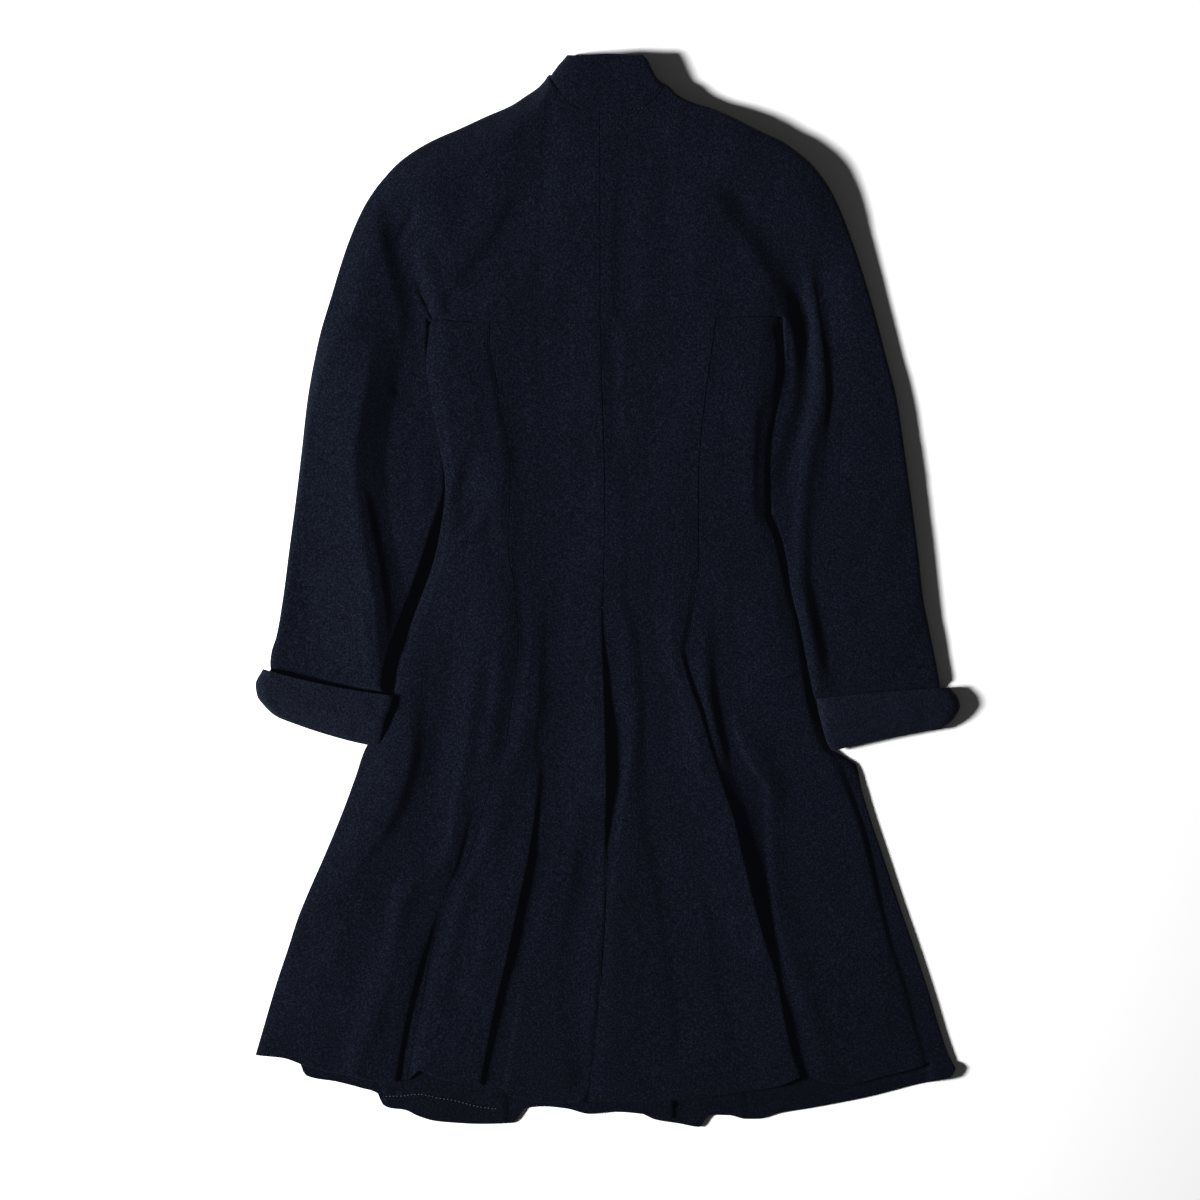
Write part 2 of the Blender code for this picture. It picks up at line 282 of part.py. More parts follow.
def fold_height(folds, x, y):
    """Sum of the soft troughs and ridges at board points x, y."""
    total = np.zeros_like(x)
    for name, high, wide_l, wide_r, fade_in, fade_out, path in folds:
        path = np.array(path, float)
        a, b = path[:-1], path[1:]
        step = b - a
        length = np.hypot(step[:, 0], step[:, 1])
        start = np.concatenate([[0], np.cumsum(length)])
        best, side, where = np.full(x.shape, 1e9), np.zeros_like(x), np.zeros_like(x)
        for k in range(len(a)):
            t = np.clip(((x - a[k, 0]) * step[k, 0] + (y - a[k, 1]) * step[k, 1]) / length[k] ** 2, 0, 1)
            dx, dy = x - a[k, 0] - t * step[k, 0], y - a[k, 1] - t * step[k, 1]
            dist = np.hypot(dx, dy)
            near = dist < best
            best = np.where(near, dist, best)
            side = np.where(near, (dx * step[k, 1] - dy * step[k, 0]) / length[k], side)
            where = np.where(near, (start[k] + t * length[k]) / start[-1], where)
        width = wide_l + (wide_r - wide_l) * smooth((side + 3) / 6)
        if name.endswith("tent"):
            bump = np.clip(1.04 - np.sqrt((best / width) ** 2 + .0016), 0, 1)
        else:
            bump = np.clip(1 - (best / width) ** 2, 0, 1) ** 2
        fade = np.clip(where / fade_in, 0, 1) * np.clip((1 - where) / fade_out, 0, 1)
        total += high * bump * fade * (2 - fade)
    return total


def body_grid(lines, rows):
    """Top face of back panels: a column for each line, a row for each board y."""
    grid = np.zeros((len(rows), len(lines), 3))
    heights = np.array([sum(row[1:], ()) for row in SECTIONS], float)
    for j, (_name, hem, keys) in enumerate(lines):
        ys = [k[0] for k in keys]
        top = float(along(YOKE_SEAM, keys[0][1]))
        share = (np.array(rows, float) - rows[0]) / (rows[-1] - rows[0])
        y = top + share * (hem - top)
        slope = (keys[-1][1] - keys[-2][1]) / (ys[-1] - ys[-2])
        x = pchip(ys, [k[1] for k in keys], y) + slope * np.clip(y - ys[-1], 0, None)
        z = pchip([row[0] for row in SECTIONS], heights[:, j], y)
        lap = (x > 544) & (x < 650 + 33 * (y - 320) / 755)      # two layers of front lie below
        z = np.maximum(z, np.where(lap, EDGE_Z + CLOTH + LAYER + .4, EDGE_Z + .6))
        if j in (0, len(lines) - 1):
            z = z * 0 + EDGE_Z
        grid[:, j] = np.stack([x, y, z], axis=-1)
    return grid


def sleeve_grid(table, columns, gentle, seam, side, cuff):
    """Upper layer of a yoke and sleeve: a row for each line of the table, a column for each share of the way across."""
    grid = np.zeros((len(table), len(columns), 3))
    u = np.array(columns, float)
    for i, (ox, oy, ix, iy, z_out, z_in, w_out, w_in) in enumerate(table):
        if w_in:     # the under-arm edge stays clear of the side of the back
            edge = float(along([(k[0], k[1]) for k in side], iy))
            ix = min(ix, edge - 2.6) if gentle else max(ix, edge + 3)
        if iy < 322.2:
            iy = float(along(YOKE_SEAM, ix)) - (.4 if w_in else 0)
        x, y = ox + (ix - ox) * u, oy + (iy - oy) * u
        wide = float(np.hypot(ix - ox, iy - oy))
        body = z_out + (z_in - z_out) * smooth((u * wide - 18) / (wide - 26))
        if not w_in:
            joined = float(np.interp(ix, seam[:, 0], seam[:, 2]))
            body = body + (joined - body) * (1 - smooth((1 - u) * wide / 55))
        rise_out = roll(u * wide / max(w_out, 10)) if w_out else 1
        if w_out and gentle:
            rise_out = .22 * roll(u * wide / 4) + .78 * (1 - (1 - np.clip(u * wide / w_out, 0, 1)) ** 1.75)
        rise_in = roll((1 - u) * wide / w_in) if w_in else 1
        grid[i, :, 0], grid[i, :, 1] = x, y
        grid[i, :, 2] = EDGE_Z + (body - EDGE_Z) * rise_out * rise_in
    x, y, z = grid[..., 0], grid[..., 1], grid[..., 2]
    z += fold_height(SLEEVE_FOLDS, x, y) * np.clip((z - EDGE_Z - 1) / 7, 0, 1)
    z -= (z - 7.4) * smooth((inside_cuff(cuff, gentle, x, y) + 10) / 7.5) * (z > 7.4)
    grid[..., 2] = np.maximum(z, EDGE_Z)
    grid[-3:, :, 2] = np.maximum(grid[-3:, :, 2], EDGE_Z + CLOTH + LAYER)   # inside the cuff it lies on the cuff's lower layer
    return grid


def inside_cuff(edge, bowed, x, y):
    """How far a point lies past the free edge of the cuff, towards the hand."""
    _v, lx, ly, rx, ry = edge[:5]
    s = np.clip((x - lx) / (rx - lx), 0, 1)
    return y - (ly + (ry - ly) * s + CUFF_BOW * (1 - (2 * s - 1) ** 2) * (1 if bowed else -.4))


def normals(grid):
    """Unit normals of a grid, upwards in board space."""
    du, dv = np.gradient(grid, axis=1), np.gradient(grid, axis=0)
    n = np.cross(du, dv)
    n *= np.sign(n[..., 2:3]) + (n[..., 2:3] == 0)
    return n / np.linalg.norm(n, axis=2, keepdims=True)


def board(points):
    p = np.asarray(points, float)
    near = 1 - p[..., 2] / EYE       # seen from above, what lies higher looks further out
    x, y = 600 + (p[..., 0] - 600) * near, 600 + (p[..., 1] - 600) * near
    return np.stack([x - BOARD_X, BOARD_Y - y, p[..., 2]], axis=-1) / 1000


# ---------------------------------------------------------------- solids
def material(name, color):
    m = bpy.data.materials.new(name)
    m.use_nodes = True
    shader = m.node_tree.nodes["Principled BSDF"]
    shader.inputs["Base Color"].default_value = color
    shader.inputs["Roughness"].default_value = 0.93
    shader.inputs["Metallic"].default_value = 0.0
    return m


def solid(name, points, faces, mat):
    mesh = bpy.data.meshes.new(name)
    mesh.from_pydata([tuple(map(float, p)) for p in board(points)], [], faces)
    bm = bmesh.new()
    bm.from_mesh(mesh)
    bmesh.ops.triangulate(bm, faces=[f for f in bm.faces if len(f.verts) > 3])
    bmesh.ops.recalc_face_normals(bm, faces=bm.faces)
    bm.to_mesh(mesh)
    bm.free()
    mesh.materials.append(mat)
    mesh.shade_smooth()
    mesh.set_sharp_from_angle(angle=0.7)
    obj = bpy.data.objects.new(name, mesh)
    bpy.context.scene.collection.objects.link(obj)
    return obj


def slab(name, top, bottom, mat):
    """Closed wall of cloth between two grids of the same size."""
    rows, cols = top.shape[:2]
    points = np.concatenate([top.reshape(-1, 3), bottom.reshape(-1, 3)])
    half = rows * cols
    faces = []
    for r in range(rows - 1):
        for c in range(cols - 1):
            a, b, d, e = r * cols + c, r * cols + c + 1, (r + 1) * cols + c, (r + 1) * cols + c + 1
            faces.append((a, d, e, b))
            faces.append((half + a, half + b, half + e, half + d))
    ring = ([r * cols for r in range(rows)] + [(rows - 1) * cols + c for c in range(1, cols)]
            + [r * cols + cols - 1 for r in range(rows - 2, -1, -1)] + list(range(cols - 2, 0, -1)))
    for a, b in zip(ring, ring[1:] + ring[:1]):
        faces.append((a, half + a, half + b, b))
    return solid(name, points, faces, mat)


def tube(name, rings_out, rings_in, mat):
    """Closed wall between two nested stacks of rings, open at both ends."""
    rows, cols = rings_out.shape[:2]
    half = rows * cols
    points = np.concatenate([rings_out.reshape(-1, 3), rings_in.reshape(-1, 3)])
    faces = []
    for c in range(cols):
        n = (c + 1) % cols
        for r in range(rows - 1):
            faces.append((r * cols + c, r * cols + n, (r + 1) * cols + n, (r + 1) * cols + c))
            faces.append((half + r * cols + c, half + (r + 1) * cols + c, half + (r + 1) * cols + n, half + r * cols + n))
        faces.append((c, half + c, half + n, n))
        last = (rows - 1) * cols
        faces.append((last + c, last + n, half + last + n, half + last + c))
    return solid(name, points, faces, mat)


def inset(grid, n, first_col=0.0, last_col=0.0, first_row=0.0, last_row=0.0):
    """Draws the ends of a grid in by small amounts, so that pieces sewn together keep a gap."""
    g = grid.copy()

    def pull(edge, inside, by):
        d = inside - edge
        return edge + d / np.linalg.norm(d, axis=-1, keepdims=True) * by
    if first_col:
        g[:, 0] = pull(grid[:, 0], grid[:, 1], first_col)
    if last_col:
        g[:, -1] = pull(grid[:, -1], grid[:, -2], last_col)
    if first_row:
        g[0, :, 1] += first_row
    if last_row:
        g[-1, :, 1] -= last_row
    return g


def under(top, n, thick=CLOTH):
    return top - n * thick


for old in list(bpy.data.objects):
    bpy.data.objects.remove(old, do_unlink=True)

wool = material("wool_crepe", NAVY)
wool_cuff = material("wool_crepe_cuff", NAVY_LIGHT)

# back panels: one grid over the whole back, cut at its seams
panels = [("side_back_l", len(SIDE_L)), ("centre_back_l", len(CENTRE_L)), ("centre_back_r", len(CENTRE_R)), ("side_back_r", len(SIDE_R))]
back = body_grid(SIDE_L + CENTRE_L + CENTRE_R + SIDE_R, BODY_ROWS)
back_n = normals(back)
back_n[0, :, 1] = 0
back_n[:, [0, -1]] = (0, 0, 1)
back_n /= np.linalg.norm(back_n, axis=2, keepdims=True)
first = 0
for name, count in panels:
    last = first + count - (0 if first else 1)
    part, part_n = back[:, first:last + 1], back_n[:, first:last + 1]
    a = 0 if name == "side_back_l" else SEAM
    b = 0 if name == "side_back_r" else SEAM
    top = inset(part, part_n, a, b, SEAM)
    low = inset(under(part, part_n), part_n, a, b, SEAM)
    slab(name, top, low, wool)
    first = last

# yoke and sleeve, upper layer
for name, table, seam_side in (("back_yoke_sleeve_l", SLEEVE_L, -1), ("back_yoke_sleeve_r", SLEEVE_R, 1)):
    left = seam_side < 0
    grid = sleeve_grid(table, SLEEVE_COLUMNS, left, back[0], (SIDE_L[0] if left else SIDE_R[-1])[2], (CUFF_L if left else CUFF_R)[0])
    n = normals(grid)
    n[:, [0, -1], :] = (0, 0, 1)
    n[0, :, 0] = 0
    n /= np.linalg.norm(n, axis=2, keepdims=True)
    sewn = sum(1 for row in table if not row[7])
    necked = sum(1 for row in table if not row[6])
    g, low = grid.copy(), under(grid, n)
    for m in (g, low):
        m[0, :, 0] += seam_side * SEAM          # centre back seam
        m[:necked + 1, 0, 1] += 8 * SEAM        # neck seam
        m[:sewn, -1, 1] -= SEAM                 # yoke seam
    slab(name, g, low, wool)

# yoke and sleeve, lower layer, flat on the board
SPREAD_L = [(470, 450), (484, 438.5), (532, 426), (569, 413.5), (611, 399), (645, 386.5), (663, 384.5), (680, 386), (692, 393), (704, 396)]
edge_l = [(k[0], k[1]) for k in SIDE_L[0][2]]
edge_r = [(k[0], k[1]) for k in SIDE_R[-1][2]]


def drawn_back(row, side):
    """Line of the lower layer: clear of the front, which on the left spreads a little past the back."""
    ox, oy, ix, iy = row[:4]
    if row[7] and side < 0:
        ix = min(ix, float(along(edge_l, iy)) - 2.6) - 5.6 * float(smooth((iy - 470) / 30) * smooth((712 - iy) / 20))
    if row[7] and side > 0:
        ix = max(ix, float(along(edge_r, iy)) + 3)
    return ox, oy, ix, iy, 0


overlap_l = [(640, 109, 640, 320.5), (600, 112, 600, 321), (562, 98, 562, 321.5), (553, 86, 548, 321.5)]
lower_l = [r[:4] + (2.4 if i < 3 else 0,) for i, r in enumerate(overlap_l)] + [drawn_back(r, -1) for r in SLEEVE_L[4:]]
lower_r = [(566, 101, 566, 322, 0)] + [drawn_back(r, 1) for r in SLEEVE_R]
for name, table in (("front_yoke_sleeve_l", lower_l), ("front_yoke_sleeve_r", lower_r)):
    share = np.array([0, .5, 1.0])
    grid = np.zeros((len(table), 3, 3))
    for i, (ox, oy, ix, iy, z) in enumerate(table):
        grid[i, :, 0], grid[i, :, 1], grid[i, :, 2] = ox + (ix - ox) * share, oy + (iy - oy) * share, z
    grid[-3:, :, 2] += 2.4
    edge = grid[:, 2] - grid[:, 0]
    edge /= np.linalg.norm(edge, axis=1, keepdims=True)
    grid[:, 0] += edge * 1.0
    grid[:, 2] -= edge * 1.0
    slab(name, grid + (0, 0, CLOTH), grid, wool)

# front panels, flat on the board; the left one laps over the right one at the centre front
front_rows = [320.4, 343, 366, 390, 412, 430, 450, 470, 484, 510, 525, 540, 560, 605, 650, 666, 681, 692, 704, 725, 745, 757, 764, 787, 830,
              890, 950, 1010, 1050]


def front_panel(name, columns_x, columns_z, hem_table):
    grid = np.zeros((len(front_rows) + 1, len(columns_x[0]), 3))
    for i, y in enumerate(front_rows):
        grid[i, :, 0], grid[i, :, 1], grid[i, :, 2] = columns_x[i], max(y, 322.6) if i == 0 else y, columns_z
    grid[-1, :, 0], grid[-1, :, 2] = columns_x[-1], columns_z
    grid[-1, :, 1] = along(hem_table, grid[-1, :, 0])
    slab(name, grid + (0, 0, CLOTH), grid, wool)


left_rows, right_rows = [], []
for y in front_rows + [1070]:
    x0 = min(float(along(edge_l, y)) + 1.2, float(along(SPREAD_L, y)) + 1 if 472 < y < 703 else 1e9) if y < 1050 else float(along([(1050, 259.7), (1070, 300)], y))
    cf = 640 + 32 * (y - 320) / 750
    left_rows.append([x0] + [x0 + (548 - x0) * s for s in (.14, .28, .42, .56, .7, .84, 1)] + [562, 600, cf])
    x1 = float(along(FRONT_EDGE_R, y)) if y < 1070 else 953.0
    right_rows.append([566, 600] + [600 + (x1 - 600) * s for s in (.12, .25, .38, .5, .62, .75, .88, 1)])
front_panel("front_body_l", left_rows, [0] * 8 + [2.4] * 3, FRONT_HEM_L)
front_panel("front_body_r", right_rows, [0] * 10, FRONT_HEM_R)


# standing collar: one band from the right front, over the back, to the left front
COLLAR_Z = [(0, 25), (.25, 25), (.55, 24.2), (.8, 23), (1, 22.2)]


def collar_ring(v):
    xl = float(pchip([0, .1, .3, .6, 1], [567.3, 563.5, 557.8, 553.2, 549.8], v))
    xr = float(pchip([0, .1, .3, .6, 1], [643, 647.5, 652, 658.5, 666], v))
    zc = float(along(COLLAR_Z, v))
    path = [(572, 1), (600, 1), (xr - 16, 1), (xr - 8, 1.5), (xr - 2.4, 4), (xr - 1, zc * .5), (xr - 2.2, zc * .84), (xr - 8, zc * .97),
            (xr - 20, zc), (600, zc), (xl + 26, zc), (xl + 12, zc * .9), (xl + 4.5, zc * .72), (xl + 1.2, zc * .46), (xl + 2.4, 6),
            (xl + 8, 3.8), (xl + 15, 3.4), (600, 3.4), (632, 3.4)]
    p = np.array(path)
    d = np.gradient(p, axis=0)
    n = np.stack([d[:, 1], -d[:, 0]], axis=1)
    n /= np.linalg.norm(n, axis=1, keepdims=True)
    n[:3], n[-3:] = (0, -1), (0, -1)
    out = []
    for q in (p + n * CLOTH / 2, p - n * CLOTH / 2):
        top = 54 + 1.5 * ((p[:, 0] - 607) / 40) ** 2
        y = top + v * (np.interp(p[:, 0], *zip(*NECK_SEAM)) - 4 * SEAM - top)
        out.append(np.stack([q[:, 0], y, q[:, 1]], axis=1))
    return out


collar = [collar_ring(v) for v in (0, .2, .4, .6, .8, 1)]
slab("collar", np.array([c[0] for c in collar]), np.array([c[1] for c in collar]), wool)


# cuffs: flattened tubes round the ends of the sleeves
def cuff(name, table, inner_end_right):
    out_rings, in_rings = [], []
    for v in (0, .12, .3, .5, .7, .85, .95, 1):
        get = [float(pchip([r[0] for r in table], [r[k] for r in table], v)) for k in range(1, 7)]
        lx, ly, rx, ry, thick, lift = get
        wide = float(np.hypot(rx - lx, ry - ly))
        for inner, store in ((0.0, out_rings), (CLOTH, in_rings)):
            half = thick / 2 - inner
            flat = wide / 2 - 9
            turn = np.radians([-90, -60, -30, 0, 30, 60])
            level = np.array([1, .86, .72, .4, 0, -.4, -.72, -.86])
            across = np.concatenate([-flat * level, flat + (9 - inner) * np.cos(turn), flat * level, -flat - (9 - inner) * np.cos(turn)])
            rise = np.concatenate([-half + 0 * level, half * np.sin(turn), half + 0 * level, -half * np.sin(turn)])
            ring = []
            for run, up in zip(across, rise):
                s = .5 + run / wide
                end = s if inner_end_right else 1 - s
                raised = lift * np.clip((end - .915 + .1 * v) / .07, 0, 1)
                low, high = inner, thick - inner
                z = thick / 2 + up
                z = low + raised + (z - low) * (high - low - raised) / (high - low)
                y = ly + (ry - ly) * s + CUFF_BOW * (1 - (2 * s - 1) ** 2) * (1 if inner_end_right else -.4)
                ring.append((lx + (rx - lx) * s, y, z))
            store.append(ring)
    tube(name, np.array(out_rings), np.array(in_rings), wool_cuff)


cuff("cuff_l", CUFF_L, True)
cuff("cuff_r", CUFF_R, False)
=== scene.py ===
"""Looks of a knee-length princess-line coat in dark navy wool crepe, laid flat, back up.

Shapes are worked out in millimetres on a laying-out board: x runs to the right, y runs
down from above the collar to the hem, z is height above the board. board() turns them
into metres with +Z up, the collar towards +Y and the hem towards -Y.
"""

import math

import bpy
import numpy as np
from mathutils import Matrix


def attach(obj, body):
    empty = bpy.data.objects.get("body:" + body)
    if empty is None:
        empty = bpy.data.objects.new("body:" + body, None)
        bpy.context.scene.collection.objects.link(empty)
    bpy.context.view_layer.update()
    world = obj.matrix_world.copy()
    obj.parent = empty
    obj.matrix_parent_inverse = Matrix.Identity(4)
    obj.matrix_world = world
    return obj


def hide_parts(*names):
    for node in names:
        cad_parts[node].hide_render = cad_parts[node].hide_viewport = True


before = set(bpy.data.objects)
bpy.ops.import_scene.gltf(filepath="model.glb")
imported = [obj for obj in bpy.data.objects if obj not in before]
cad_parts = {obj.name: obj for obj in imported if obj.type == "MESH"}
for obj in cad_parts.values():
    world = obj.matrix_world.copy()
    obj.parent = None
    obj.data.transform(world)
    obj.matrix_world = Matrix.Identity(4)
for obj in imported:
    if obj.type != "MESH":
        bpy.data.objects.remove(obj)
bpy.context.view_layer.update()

BOARD_X, BOARD_Y = 607.3, 589.4   # board point at the model's origin
EYE = 2833.0                      # height of the eye over the board point (600, 600)
CLOTH = 2.0                       # wall of the wool cloth
RIM = 0.48                        # how far a cut or sewn edge rounds off
GAP = 0.07                        # half the gap of a seam between two pieces
EDGE_Z = 3.0                      # where an upper layer's rolled edge meets the lower layer
PLATEAU = 14.0                    # top of the back over the yoke
STEP = 2.7                        # mesh spacing

# ------------------------------------------------------------------ sections
YOKE_SEAM = [(420, 321.5), (441, 319.8), (464, 321.8), (502, 322.0), (566, 322.8), (604, 322.2),
             (655, 321.0), (675, 319.2), (706, 317.4), (757, 316.4), (790, 317.0)]
NECK_SEAM = [(546, 73), (551, 78), (560, 92), (569, 103), (583, 110), (600, 111.6), (625, 111),
             (645, 107), (656, 98), (665.5, 84), (672, 74)]

# Lines that run down the back from the yoke seam to the hem: crests, valleys and seams.
# columns: name, hem (board y where the line ends), then its course as (y, x)
SIDE_L = [
    ("edge", 1055, [(321, 431), (362, 426), (400, 431), (440, 438), (487, 445), (520, 441.5), (547, 437), (572, 430.5),
        (604, 418.5), (634, 406.5), (654, 399), (673, 395.5), (698, 394), (720, 385), (749, 365), (775, 356), (802, 346.2), (830, 335.2),
        (860, 322.5), (890, 309.2), (920, 297), (950, 287.3), (980, 277.2), (1015, 266.8), (1055, 255.5)]),
    ("edge_roll", 1056, [(321, 437), (362, 432), (400, 437), (440, 444), (487, 451), (520, 448.5), (547, 444), (572, 437.5),
        (604, 425.5), (634, 413.5), (654, 406), (673, 401.5), (698, 399), (720, 391), (749, 372), (802, 355),
        (844, 337), (887, 319), (928, 302), (971, 288.5), (1015, 275), (1055, 263)]),
    ("side_lobe", 1058, [(321, 443), (400, 446), (487, 456), (547, 449), (600, 431), (640, 419), (700, 412),
        (750, 410), (780, 403), (800, 397), (820, 388), (850, 368), (900, 337), (971, 306), (1055, 283)]),
    ("side_valley", 1066, [(321, 453), (400, 463), (440, 470), (480, 466), (510, 462), (560, 459), (600, 450), (640, 436),
        (690, 429), (730, 427), (770, 421), (810, 409), (840, 390), (870, 368), (900, 358), (950, 340),
        (1000, 325), (1055, 309)]),
    ("second_foot", 1073, [(321, 458), (440, 477), (500, 472), (600, 461), (700, 445), (770, 435), (810, 424), (840, 411),
        (870, 398), (900, 388), (940, 380), (980, 363), (1020, 352), (1055, 340)]),
    ("second_crest", 1076, [(321, 464), (440, 481), (500, 477), (560, 472), (600, 470), (650, 464), (700, 460), (750, 455),
        (800, 449), (840, 443), (868, 430), (895, 407), (915, 399), (940, 394), (960, 391), (1000, 383),
        (1020, 376), (1050, 362), (1075, 353)]),
    ("second_back", 1080, [(321, 470), (440, 485), (500, 484), (560, 482), (600, 482), (650, 477), (700, 473), (750, 467),
        (800, 458), (840, 450.5), (868, 440), (895, 420), (930, 408), (960, 402), (1000, 392), (1020, 386),
        (1050, 374), (1075, 367)]),
    ("inner_valley", 1082, [(321, 477), (380, 483), (440, 489.5), (500, 487), (540, 490), (580, 497), (610, 496), (640, 491),
        (680, 488), (710, 485), (740, 481), (770, 475), (800, 469), (840, 461), (870, 453), (885, 446),
        (940, 427), (980, 415), (1020, 405.5), (1060, 398.5), (1085, 394)]),
    ("inner_ridge", 1081, [(321, 483), (340, 484.5), (380, 490), (420, 496), (450, 500), (480, 501), (510, 499), (540, 500),
        (570, 504), (600, 505), (640, 501), (690, 497), (720, 493), (750, 488), (780, 482), (810, 475),
        (835, 469), (870, 459), (885, 450), (940, 431), (980, 419.5), (1020, 410), (1060, 402.5), (1085, 398)]),
    ("princess_seam", 1080, [(321, 490), (340, 490), (380, 497), (420, 504), (445, 509), (470, 511), (500, 510), (540, 509),
        (560, 510), (580, 514), (600, 516), (640, 519), (665, 517), (690, 514), (715, 510), (740, 507),
        (772, 497), (800, 486), (840, 475), (870, 464), (885, 454), (930, 438), (960, 430), (1000, 423),
        (1040, 414), (1083, 407)]),
]
CENTRE_L = [
    ("third_foot", 1077, [(321, 497), (380, 503), (445, 514), (500, 516), (560, 515), (600, 521), (640, 524), (690, 519),
        (740, 512), (772, 503), (800, 493), (840, 481), (870, 469.5), (885, 459), (930, 442.5), (960, 434.5),
        (1000, 427), (1040, 418), (1083, 411)]),
    ("third_crest", 1071, [(321, 506), (445, 521), (500, 523), (560, 524), (600, 529), (640, 532), (690, 528), (745, 520),
        (772, 512), (800, 501), (840, 489), (870, 477), (885, 467), (910, 458), (935, 450), (960, 442),
        (1000, 434), (1040, 425), (1083, 417)]),
    ("third_top", 1080, [(321, 520), (500, 534), (560, 535), (600, 538), (640, 539), (700, 537), (750, 532), (800, 519),
        (850, 507), (900, 490), (950, 473), (1000, 460), (1060, 447)]),
    ("valley_left", 1084, [(321, 532), (500, 540), (580, 541), (640, 542.5), (700, 542), (740, 538.5), (780, 537), (820, 533),
        (860, 527), (900, 518.5), (950, 508), (1000, 496), (1060, 483.5)]),
    ("valley", 1086, [(321, 545), (400, 546), (450, 550), (500, 546), (580, 547), (640, 547), (690, 549), (720, 548.5),
        (750, 546.5), (790, 543), (828, 537.5), (860, 532), (882, 527.5), (900, 523.5), (930, 517.5),
        (956, 511.5), (984, 505), (1008, 498.5), (1034, 494), (1056, 489.5), (1077, 486)]),
    ("fourth_foot", 1088, [(321, 556), (500, 560), (580, 560), (700, 560), (760, 557), (800, 555), (839, 552), (865, 547),
        (898, 539), (934, 531), (973, 521.5), (1006, 515), (1038, 509), (1071, 504)]),
    ("fourth_crest", 1095, [(321, 566), (500, 570), (580, 571), (700, 572), (760, 569), (800, 565), (839, 561), (865, 556),
        (898, 548), (934, 540), (973, 530), (1006, 523), (1038, 517), (1071, 512)]),
    ("soft_valley", 1103, [(321, 580), (500, 583), (580, 583), (640, 584), (700, 586), (800, 585), (860, 580), (891, 577),
        (921, 572), (956, 568), (1030, 562), (1100, 556)]),
    ("back_lobe", 1103, [(321, 590), (560, 593), (600, 592), (640, 593), (700, 595), (800, 597), (900, 593), (960, 588),
        (1000, 582), (1040, 577), (1090, 573)]),
    ("back_crest", 1102, [(321, 597), (438, 600.5), (499, 602), (560, 601), (600, 600), (640, 601), (680, 603), (740, 605),
        (780, 606), (820, 605), (850, 604), (880, 603), (920, 602), (960, 599), (1000, 595), (1040, 590),
        (1090, 584)]),
    ("back_seam", 1101, [(321, 600.5), (438, 603.5), (499, 605), (560, 604), (606, 603), (640, 604.5), (680, 607), (740, 609.5),
        (780, 610.5), (820, 609.5), (850, 608), (880, 606.8), (920, 605), (960, 602.5), (1000, 599),
        (1040, 594.5), (1090, 589)]),
]
CENTRE_R = [
    ("pleat_floor", 1101, [(321, 606), (438, 608), (499, 610), (560, 609.5), (600, 607.5), (620, 608), (660, 613), (700, 617),
        (740, 621), (765, 621), (790, 619), (820, 616.5), (850, 613), (870, 611), (900, 609), (960, 606.5),
        (1000, 603.5), (1090, 595)]),
    ("fifth_crest", 1102, [(321, 619), (560, 620), (600, 617), (625, 625), (650, 630), (680, 634), (720, 635), (750, 633),
        (780, 629), (810, 625), (840, 620), (870, 618), (900, 617), (960, 616), (1090, 614)]),
    ("fifth_valley", 1099, [(321, 636), (440, 629), (500, 630), (585, 630), (620, 637), (645, 642), (690, 646), (740, 647.5),
        (770, 648), (800, 651), (840, 656), (870, 661), (900, 665), (930, 671), (960, 675), (985, 681),
        (1005, 686), (1055, 690)]),
    ("sixth_crest", 1096, [(321, 655), (560, 652), (600, 650), (645, 656), (690, 662), (740, 666), (800, 675), (840, 682),
        (900, 691), (960, 703), (1005, 711), (1055, 715)]),
    ("sixth_soft", 1092, [(321, 672), (560, 668), (640, 664.5), (700, 677), (780, 695), (880, 713), (920, 718), (950, 723),
        (975, 727), (1010, 733), (1055, 739)]),
    ("seventh_top", 1086, [(321, 690), (443, 684), (560, 684), (600, 679), (648, 672), (690, 684), (715, 692), (770, 706),
        (850, 729), (905, 742), (970, 758), (1055, 774)]),
    ("seventh_crest", 1078, [(321, 705), (443, 693), (530, 692), (565, 691), (590, 689), (610, 687), (635, 682.5), (648, 679),
        (665, 683), (690, 691), (715, 700), (740, 707), (770, 716), (795, 725), (820, 734), (850, 741),
        (875, 747), (905, 754), (930, 761), (950, 767), (970, 774), (1000, 780), (1030, 786), (1055, 792),
        (1073, 798)]),
    ("princess_seam", 1077, [(321, 716), (410, 704), (443, 700.5), (480, 698.5), (530, 698.5), (560, 699), (590, 695.5), (610, 693),
        (635, 689), (648, 686), (665, 688.5), (690, 696), (715, 705), (740, 712), (770, 721), (795, 730),
        (820, 739), (850, 746), (875, 752), (905, 759), (930, 766), (950, 772), (970, 778.5), (1000, 785),
        (1030, 791), (1055, 797), (1073, 803)]),
]
